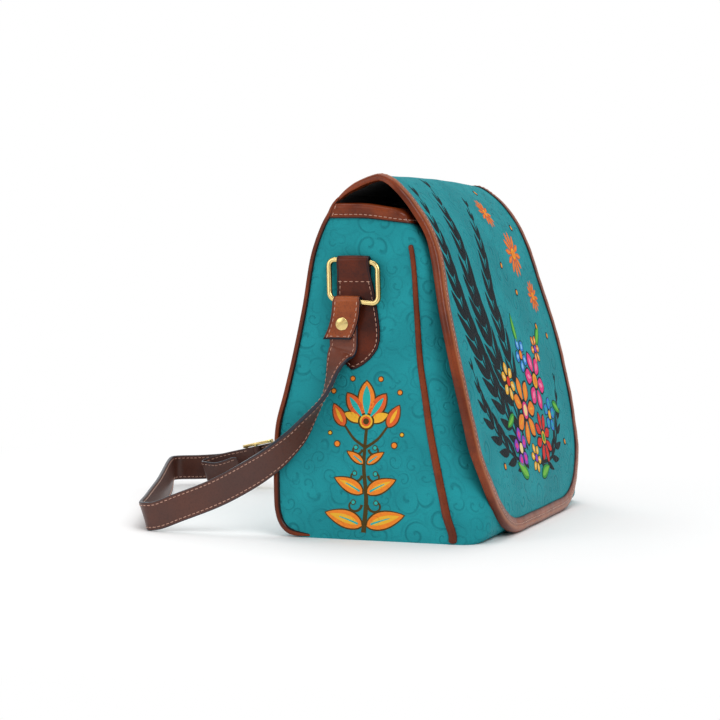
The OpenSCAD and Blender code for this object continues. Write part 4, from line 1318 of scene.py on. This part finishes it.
class Print:
    """Painted ornament: flat shapes laid just over a curved face, each a closed sheet of its own colour."""

    def __init__(self, onto, flip=1.0):
        self.onto, self.flip = onto, flip
        self.verts, self.faces, self.tint, self.uv = [], [], [], []

    def sheet(self, points, tris, rim, lift, colour):
        points = np.asarray(points, float)
        n, base = len(points), len(self.verts)
        self.verts += [*self.onto(points, lift), *self.onto(points, -0.15)]
        self.uv += [*(points * (CM, CM * self.flip))] * 2
        self.tint += [(*colour, 1.0)] * (2 * n)
        self.faces += [tuple(base + k for k in t) for t in tris]
        self.faces += [tuple(base + n + k for k in t[::-1]) for t in tris]
        self.faces += [(base + b, base + a, base + n + a, base + n + b)
                       for a, b in zip(rim, rim[1:] + rim[:1])]

    def shape(self, outline, lift, colour, step=3.6):
        outline = np.asarray(outline, float)
        low, high = outline.min(0), outline.max(0)
        grid = [Vector((u, v)) for u in np.arange(low[0] + step / 2, high[0], step)
                for v in np.arange(low[1] + step / 2, high[1], step)
                if np.linalg.norm(outline - (u, v), axis=1).min() > step * 0.4]
        verts, _, tris, source, _, _ = geometry.delaunay_2d_cdt(
            [Vector(p) for p in outline] + grid, [], [list(range(len(outline)))], 1, 1e-5)
        used = sorted({k for t in tris for k in t})
        new = {old: k for k, old in enumerate(used)}
        home = {given: k for k, olds in enumerate(source) for given in olds}
        rim = [new[home[k]] for k in range(len(outline))]
        tris = [tuple(new[k] for k in t) for t in tris]
        self.sheet([tuple(verts[k]) for k in used], tris, rim, lift, colour)

    def line(self, path, widths, lift, colour):
        path = np.asarray(path, float)
        t = tangents(path)
        side = np.stack([-t[:, 1], t[:, 0]], axis=1) * np.broadcast_to(widths, (len(path),))[:, None] / 2
        n = len(path)
        tris = [(k, k + 1, n + k + 1, n + k) for k in range(n - 1)]
        rim = list(range(n)) + list(range(2 * n - 1, n - 1, -1))
        self.sheet(np.concatenate([path + side, path - side]), tris, rim, lift, colour)

    def petal(self, at, heading, length, width, colours, bend=0.0, blunt=0.8, rim=0.7):
        """A petal or leaf with its outline, filling and lit middle."""
        t = np.linspace(0, 1, 15)
        for k, colour in enumerate(colours):
            inset = rim * k * (1 + 0.9 * (k > 1))
            long, wide = length - 2 * inset, width / 2 - inset
            if colour is None or wide < 0.3:
                continue
            half = wide * np.sin(np.pi * t ** blunt) ** 0.8
            along = inset + t * long
            curl = bend * (along / length) ** 2 * length
            pts = np.concatenate([np.stack([along, curl + half], axis=1)[:-1],
                                  np.stack([along, curl - half], axis=1)[:0:-1]])
            c, s = math.cos(math.radians(heading)), math.sin(math.radians(heading))
            pts = np.stack([pts[:, 0] * c - pts[:, 1] * s, pts[:, 0] * s + pts[:, 1] * c], axis=1) + at
            self.shape(pts, 0.12 + 0.08 * k, colour)

    def disc(self, at, r, colours, rim=0.6):
        ang = np.linspace(0, math.tau, max(10, int(r * 6)), endpoint=False)
        for k, colour in enumerate(colours):
            if r - rim * k > 0.25:
                ring = np.stack([np.cos(ang), np.sin(ang)], axis=1) * (r - rim * k) + at
                self.shape(ring, 0.24 + 0.07 * k, colour)

    def blossom(self, at, r, count, colours, heart, turn=0.0, fat=1.15):
        at = np.asarray(at, float)
        for k in range(count):
            a = turn + 360 * k / count
            c = at + r * 0.2 * np.array([math.cos(math.radians(a)), math.sin(math.radians(a))])
            self.petal(c, a, r * 0.82, fat * math.tau * r * 0.5 / count, colours, blunt=1.25, rim=r * 0.06)
        self.disc(at, r * 0.32, heart, rim=r * 0.08)

    def mesh(self, name):
        return build(name, self.verts, self.faces, MAT["paint"], self.uv, sharp=30, tint=self.tint)


OLIVE, ORANGE, RUST, YELLOW = srgb(78, 62, 24), srgb(240, 134, 44), srgb(222, 96, 44), srgb(238, 178, 52)
INK, PINK, PURPLE, LEAF = srgb(26, 26, 30), srgb(232, 62, 132), srgb(142, 70, 190), srgb(58, 156, 62)
BLUE, RED, AQUA, CREAM = srgb(58, 134, 214), srgb(216, 48, 40), srgb(44, 176, 170), srgb(244, 214, 150)


def gusset_print():
    """A fan-topped stem with paired leaves, buds and tendrils, the same on both hands of its stem."""
    art = Print(on_gusset)
    mid = 2.0
    stem = spline([(mid + 0.5, 5), (mid - 1.0, 26), (mid + 0.9, 48), (mid - 0.3, 72)], 40)
    art.line(stem, np.linspace(3.2, 2.0, 40), 0.1, OLIVE)
    for hand in (-1, 1):
        def at(y, z):
            return mid + hand * y, z

        def heading(a):
            return a if hand > 0 else 180 - a
        for z, a, size in ((9, 24, 28), (30, 33, 23), (49, 42, 15)):
            art.petal(at(0.8, z), heading(a), size, size * 0.46, (OLIVE, ORANGE, YELLOW),
                      -0.12 * hand, rim=1.0)
            f = np.linspace(0.14, 0.62, 9)
            c, b = math.cos(math.radians(a)), math.sin(math.radians(a))
            along, off = f * size, -0.12 * f ** 2 * size
            vein = np.stack([mid + hand * (0.8 + along * c - off * b), z + along * b + off * c], axis=1)
            art.line(vein, np.linspace(1.3, 0.5, 9), 0.36, AQUA)
        for k, z in enumerate((19.5, 38.5, 55.5)):
            turns = np.linspace(0, 1, 26)
            r, a = (5.6 - 0.7 * k) * (1 - turns * 0.72), math.pi + turns * 4.6
            curl = np.stack([mid + hand * (7.6 - 0.6 * k + r * np.cos(a)), z + 3.4 + r * np.sin(a)], axis=1)
            art.line(curl, np.linspace(1.8, 0.9, 26), 0.1, OLIVE)
            art.disc(curl[-1], 1.8, (OLIVE, AQUA))
        art.line(spline([at(0, 60), at(8, 65.5), at(15.0, 74.5)], 16), np.linspace(2.0, 1.4, 16), 0.1, OLIVE)
        art.petal(at(14.6, 73), heading(62), 17.5, 9.2, (OLIVE, RUST, YELLOW), rim=0.9)
        art.disc(at(19.5, 62), 2.3, (OLIVE, ORANGE))
        art.disc(at(24.5, 69), 1.7, (OLIVE, YELLOW))
    for a, size, fill in ((90, 28, ORANGE), (55, 24, RUST), (125, 24, RUST), (22, 17, YELLOW),
                          (158, 17, YELLOW)):
        art.petal((mid, 76), a, size, size * 0.46, (OLIVE, fill, AQUA), blunt=1.2, rim=1.0)
    art.disc((mid, 77), 5.6, (OLIVE, YELLOW, RUST, OLIVE), rim=1.2)
    for a in (43, 72, 108, 137):
        c = (mid + 31.0 * math.cos(math.radians(a)), 75 + 31.0 * math.sin(math.radians(a)))
        art.disc(c, 2.0, (OLIVE, ORANGE))
    return art.mesh("gusset_ornament_left")


def frond(art, points, leaf, count, first=0.1):
    """A dark plume: a long curved rib with slender leaves in pairs that shorten to its tip."""
    rib = spline(points, 60)
    art.line(rib, np.linspace(3.0, 0.8, 60), 0.1, INK)
    t = tangents(rib)
    for k in range(count):
        f = first + (0.97 - first) * k / (count - 1)
        i = int(f * 59)
        a = math.degrees(math.atan2(t[i, 1], t[i, 0]))
        size = leaf * (0.62 + 0.5 * math.sin(math.pi * min(f * 1.1, 1)) - 0.3 * f)
        for hand in (-1, 1):
            art.petal(rib[i], a + hand * (42 - 14 * f), size, size * 0.27, (INK,), bend=-0.2 * hand)


def flap_print():
    """Dark plumes that sweep up one side, a bunch of bright blossoms, and small rosettes above it."""
    art = Print(on_flap, -1.0)
    frond(art, [(-18, 246), (-56, 206), (-88, 150), (-98, 92), (-90, 52)], 30, 14)
    frond(art, [(-14, 240), (-36, 196), (-58, 140), (-62, 84), (-46, 44)], 30, 13)
    frond(art, [(-10, 226), (-14, 186), (-22, 138), (-14, 92), (6, 62)], 26, 11)
    frond(art, [(-20, 252), (-60, 236), (-92, 208), (-104, 176)], 24, 8)
    frond(art, [(4, 252), (46, 250), (78, 226), (92, 196)], 19, 8)
    for at, a, size in (((-22, 258), 200, 26), ((10, 262), 340, 24), ((62, 172), 312, 22),
                        ((-34, 214), 150, 20),
                        ((70, 214), 20, 20), ((12, 168), 262, 22)):
        art.petal(at, a, size, size * 0.4, (INK, LEAF, srgb(120, 190, 70)), bend=0.12)
    bunch = [((-4, 214), 25, 7, (INK, ORANGE, YELLOW), (INK, PINK, CREAM)),
             ((36, 196), 22, 6, (INK, PINK, srgb(246, 140, 176)), (INK, YELLOW, ORANGE)),
             ((30, 236), 19, 8, (INK, RED, ORANGE), (INK, YELLOW, LEAF)),
             ((-30, 238), 15, 5, (INK, PURPLE, PINK), (INK, CREAM)),
             ((58, 222), 13, 5, (INK, BLUE, AQUA), (INK, YELLOW)),
             ((-30, 192), 14, 6, (INK, YELLOW, CREAM), (INK, RED)),
             ((14, 176), 13, 5, (INK, BLUE, srgb(140, 200, 240)), (INK, ORANGE)),
             ((56, 174), 11, 6, (INK, ORANGE, CREAM), (INK, PURPLE)),
             ((2, 248), 11, 6, (INK, YELLOW, CREAM), (INK, PURPLE))]
    for k, (at, r, count, colours, heart) in enumerate(bunch):
        art.blossom(at, r, count, colours, heart, turn=17.0 * k)
    for at, r in (((62, 104), 17), ((88, 136), 12), ((36, 72), 12)):
        art.blossom(at, r, 12, (RUST, ORANGE, YELLOW), (RUST, YELLOW, ORANGE), turn=9.0, fat=0.95)
    for at in ((44, 132), (74, 158), (84, 84), (20, 112), (98, 166), (58, 52), (-76, 246), (86, 244)):
        art.disc(at, 2.6, (INK, ORANGE, YELLOW), rim=0.8)
    return art.mesh("flap_ornament")


# Camera, light and floor
def make_camera():
    data = bpy.data.cameras.new("camera")
    data.lens, data.sensor_width, data.clip_end = 107.5, 36.0, 20.0
    cam = link("camera", data)
    turn, dip = math.radians(19.5), math.radians(3.33)
    look = Vector((math.cos(turn) * math.cos(dip), math.sin(turn) * math.cos(dip), -math.sin(dip)))
    cam.location = (-1.433, -0.4573, 0.1975)
    cam.rotation_euler = look.to_track_quat("-Z", "Y").to_euler()
    bpy.context.scene.camera = cam


def area_light(name, at, aim, size, power):
    data = bpy.data.lights.new(name, "AREA")
    data.shape, data.size, data.energy = "DISK", size, power
    lamp = link(name, data)
    lamp.location = at
    lamp.rotation_euler = (Vector(aim) - Vector(at)).to_track_quat("-Z", "Y").to_euler()


def make_world():
    """White to the camera, and a softer white as light on the bag."""
    world = bpy.data.worlds.new("studio")
    bpy.context.scene.world = world
    world.use_nodes = True
    tree = world.node_tree
    path = add_node(tree, "ShaderNodeLightPath").outputs
    seen = add_node(tree, "ShaderNodeMath", {"operation": "MAXIMUM"},
                    {0: path["Is Camera Ray"], 1: path["Is Transmission Ray"]}).outputs[0]
    level = add_node(tree, "ShaderNodeMapRange", None, {"Value": seen, "To Min": 0.55, "To Max": 1.0})
    back = tree.nodes["Background"].inputs
    feed(tree, back["Strength"], level.outputs["Result"])
    feed(tree, back["Color"], (1, 1, 1, 1))


def make_floor():
    """Pale floor that keeps the shadow near the bag and runs out into the white backdrop."""
    mesh = bpy.data.meshes.new("floor")
    mesh.from_pydata([(-6, -6, 0), (6, -6, 0), (6, 6, 0), (-6, 6, 0)], [], [(0, 1, 2, 3)])
    sh = Shader("white studio floor", 0.9, Base_Color=(0.93, 0.93, 0.93, 1))
    away = sh.node("ShaderNodeVectorMath", {"operation": "LENGTH"}, {0: sh.coords()}, "Value")
    path = add_node(sh.tree, "ShaderNodeLightPath").outputs
    seen = Sock(sh, path["Is Camera Ray"]).max(Sock(sh, path["Is Glossy Ray"]))
    white = sh.node("ShaderNodeEmission", None, {"Color": (1, 1, 1, 1), "Strength": 1.0}, "Emission")
    both_ways = sh.node("ShaderNodeMixShader", None,
                        {0: sh.smooth(away, 0.25, 0.6) * seen, 1: sh.bsdf.outputs[0], 2: white})
    feed(sh.tree, sh.tree.nodes["Material Output"].inputs["Surface"], both_ways)
    mesh.materials.append(sh.mat)
    link("floor", mesh)


make_camera()
make_world()
make_floor()
area_light("key", (-1.6, -1.5, 1.9), (0, 0, 0.1), 1.4, 24)
area_light("fill", (-1.9, 1.3, 1.1), (0, 0.05, 0.1), 1.6, 9)
area_light("top", (0.2, 0.1, 2.2), (0, 0, 0.1), 1.6, 18)
area_light("rear", (1.6, 1.4, 1.2), (0, 0, 0.1), 1.4, 8)
bpy.context.scene.view_settings.view_transform = "Standard"


# Putting it together
def add(piece, body, slot, *nodes):
    """Rides a finished piece on its body and lets it stand for CAD nodes; its slot is not used."""
    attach(piece, body)
    if nodes:
        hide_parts(*nodes)
    return piece


def both(piece, bodies, slot, nodes):
    """A left piece and its mirror image."""
    other = mirror_x(piece, piece.name.replace("_left", "_right"))
    add(piece, bodies[0], slot, *([nodes[0]] if nodes else []))
    add(other, bodies[1], slot, *([nodes[1]] if nodes else []))


BAG, RINGS = ("bag", "bag"), ("ring_left_set", "ring_right_set")
add(make_back(), "bag", "teal_leather", "back_panel")
add(make_front(), "bag", "teal_leather", "front_panel")
add(make_base(), "bag", "teal_leather", "base_panel")
both(make_gusset(), BAG, "teal_leather", ("gusset_left", "gusset_right"))
add(make_lining(), "bag", "lining", "body_lining")
add(make_band(), "bag", "brown_leather", "mouth_band")
for cord, node in ((make_back_piping(), "back_piping"), (make_front_piping(), "front_piping")):
    pair = [cord, mirror_x(cord, node + "_right")]
    add(join(node + "_cord", pair), "bag", "brown_leather", node)
both(make_tab(), BAG, "brown_leather", ("tab_left", "tab_right"))
both(make_ring(), RINGS, "gold_metal", ("ring_left", "ring_right"))
both(make_fold(), RINGS, "strap_leather", ("strap_end_left", "strap_end_right"))
both(make_screw(), RINGS, "gold_metal", ("screw_left", "screw_right"))

add(flap_sheet("flap_leather", 0.0, -FLAP_SKIN, 0.5, 8.7, MAT["teal"]), "flap", "teal_leather", "flap_panel")
add(flap_sheet("flap_lining_cloth", -FLAP_SKIN - 0.02, -FLAP_TOTAL, 0.6, 9.2, MAT["lining"], u0=500),
    "flap", "lining", "flap_lining")
add(make_flap_binding(), "flap", "brown_leather", "flap_binding")
for hinge, slot in ((make_hinge_fold("hinge_fold_leather", 112.6, 0.0, 1.2, MAT["teal"]), "teal_leather"),
                    (make_hinge_fold("hinge_fold_cloth", 112.4, 1.22, 1.9, MAT["lining"]), "lining")):
    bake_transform(hinge)

add(make_strap(), "strap_set", "strap_leather", "strap")
add(make_slider(), "adjuster", "gold_metal", "slider")
add(make_tail(), "adjuster", "strap_leather", "strap_tail")

both(gusset_print(), BAG, "teal_leather", None)
add(flap_print(), "flap", "teal_leather")
side_seams = tab_seams()
for name, body, slot, seams in (
        ("bag_stitches", "bag", "brown_leather", band_seams() + side_seams + other_side(side_seams)),
        ("flap_stitches", "flap", "brown_leather", flap_seam()),
        ("end_stitches_left", "ring_left_set", "strap_leather", fold_seams()),
        ("end_stitches_right", "ring_right_set", "strap_leather", other_side(fold_seams())),
        ("strap_stitches", "strap_set", "strap_leather", strap_seams()),
        ("tail_stitches", "adjuster", "strap_leather", tail_seams())):
    add(stitched(name, seams, len(name)), body, slot)

for node, mat in (("base_board", "board"), ("snap_socket", "snap"), ("snap_stud", "snap")):
    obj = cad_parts[node]
    obj.data.materials.clear()
    obj.data.materials.append(MAT[mat])
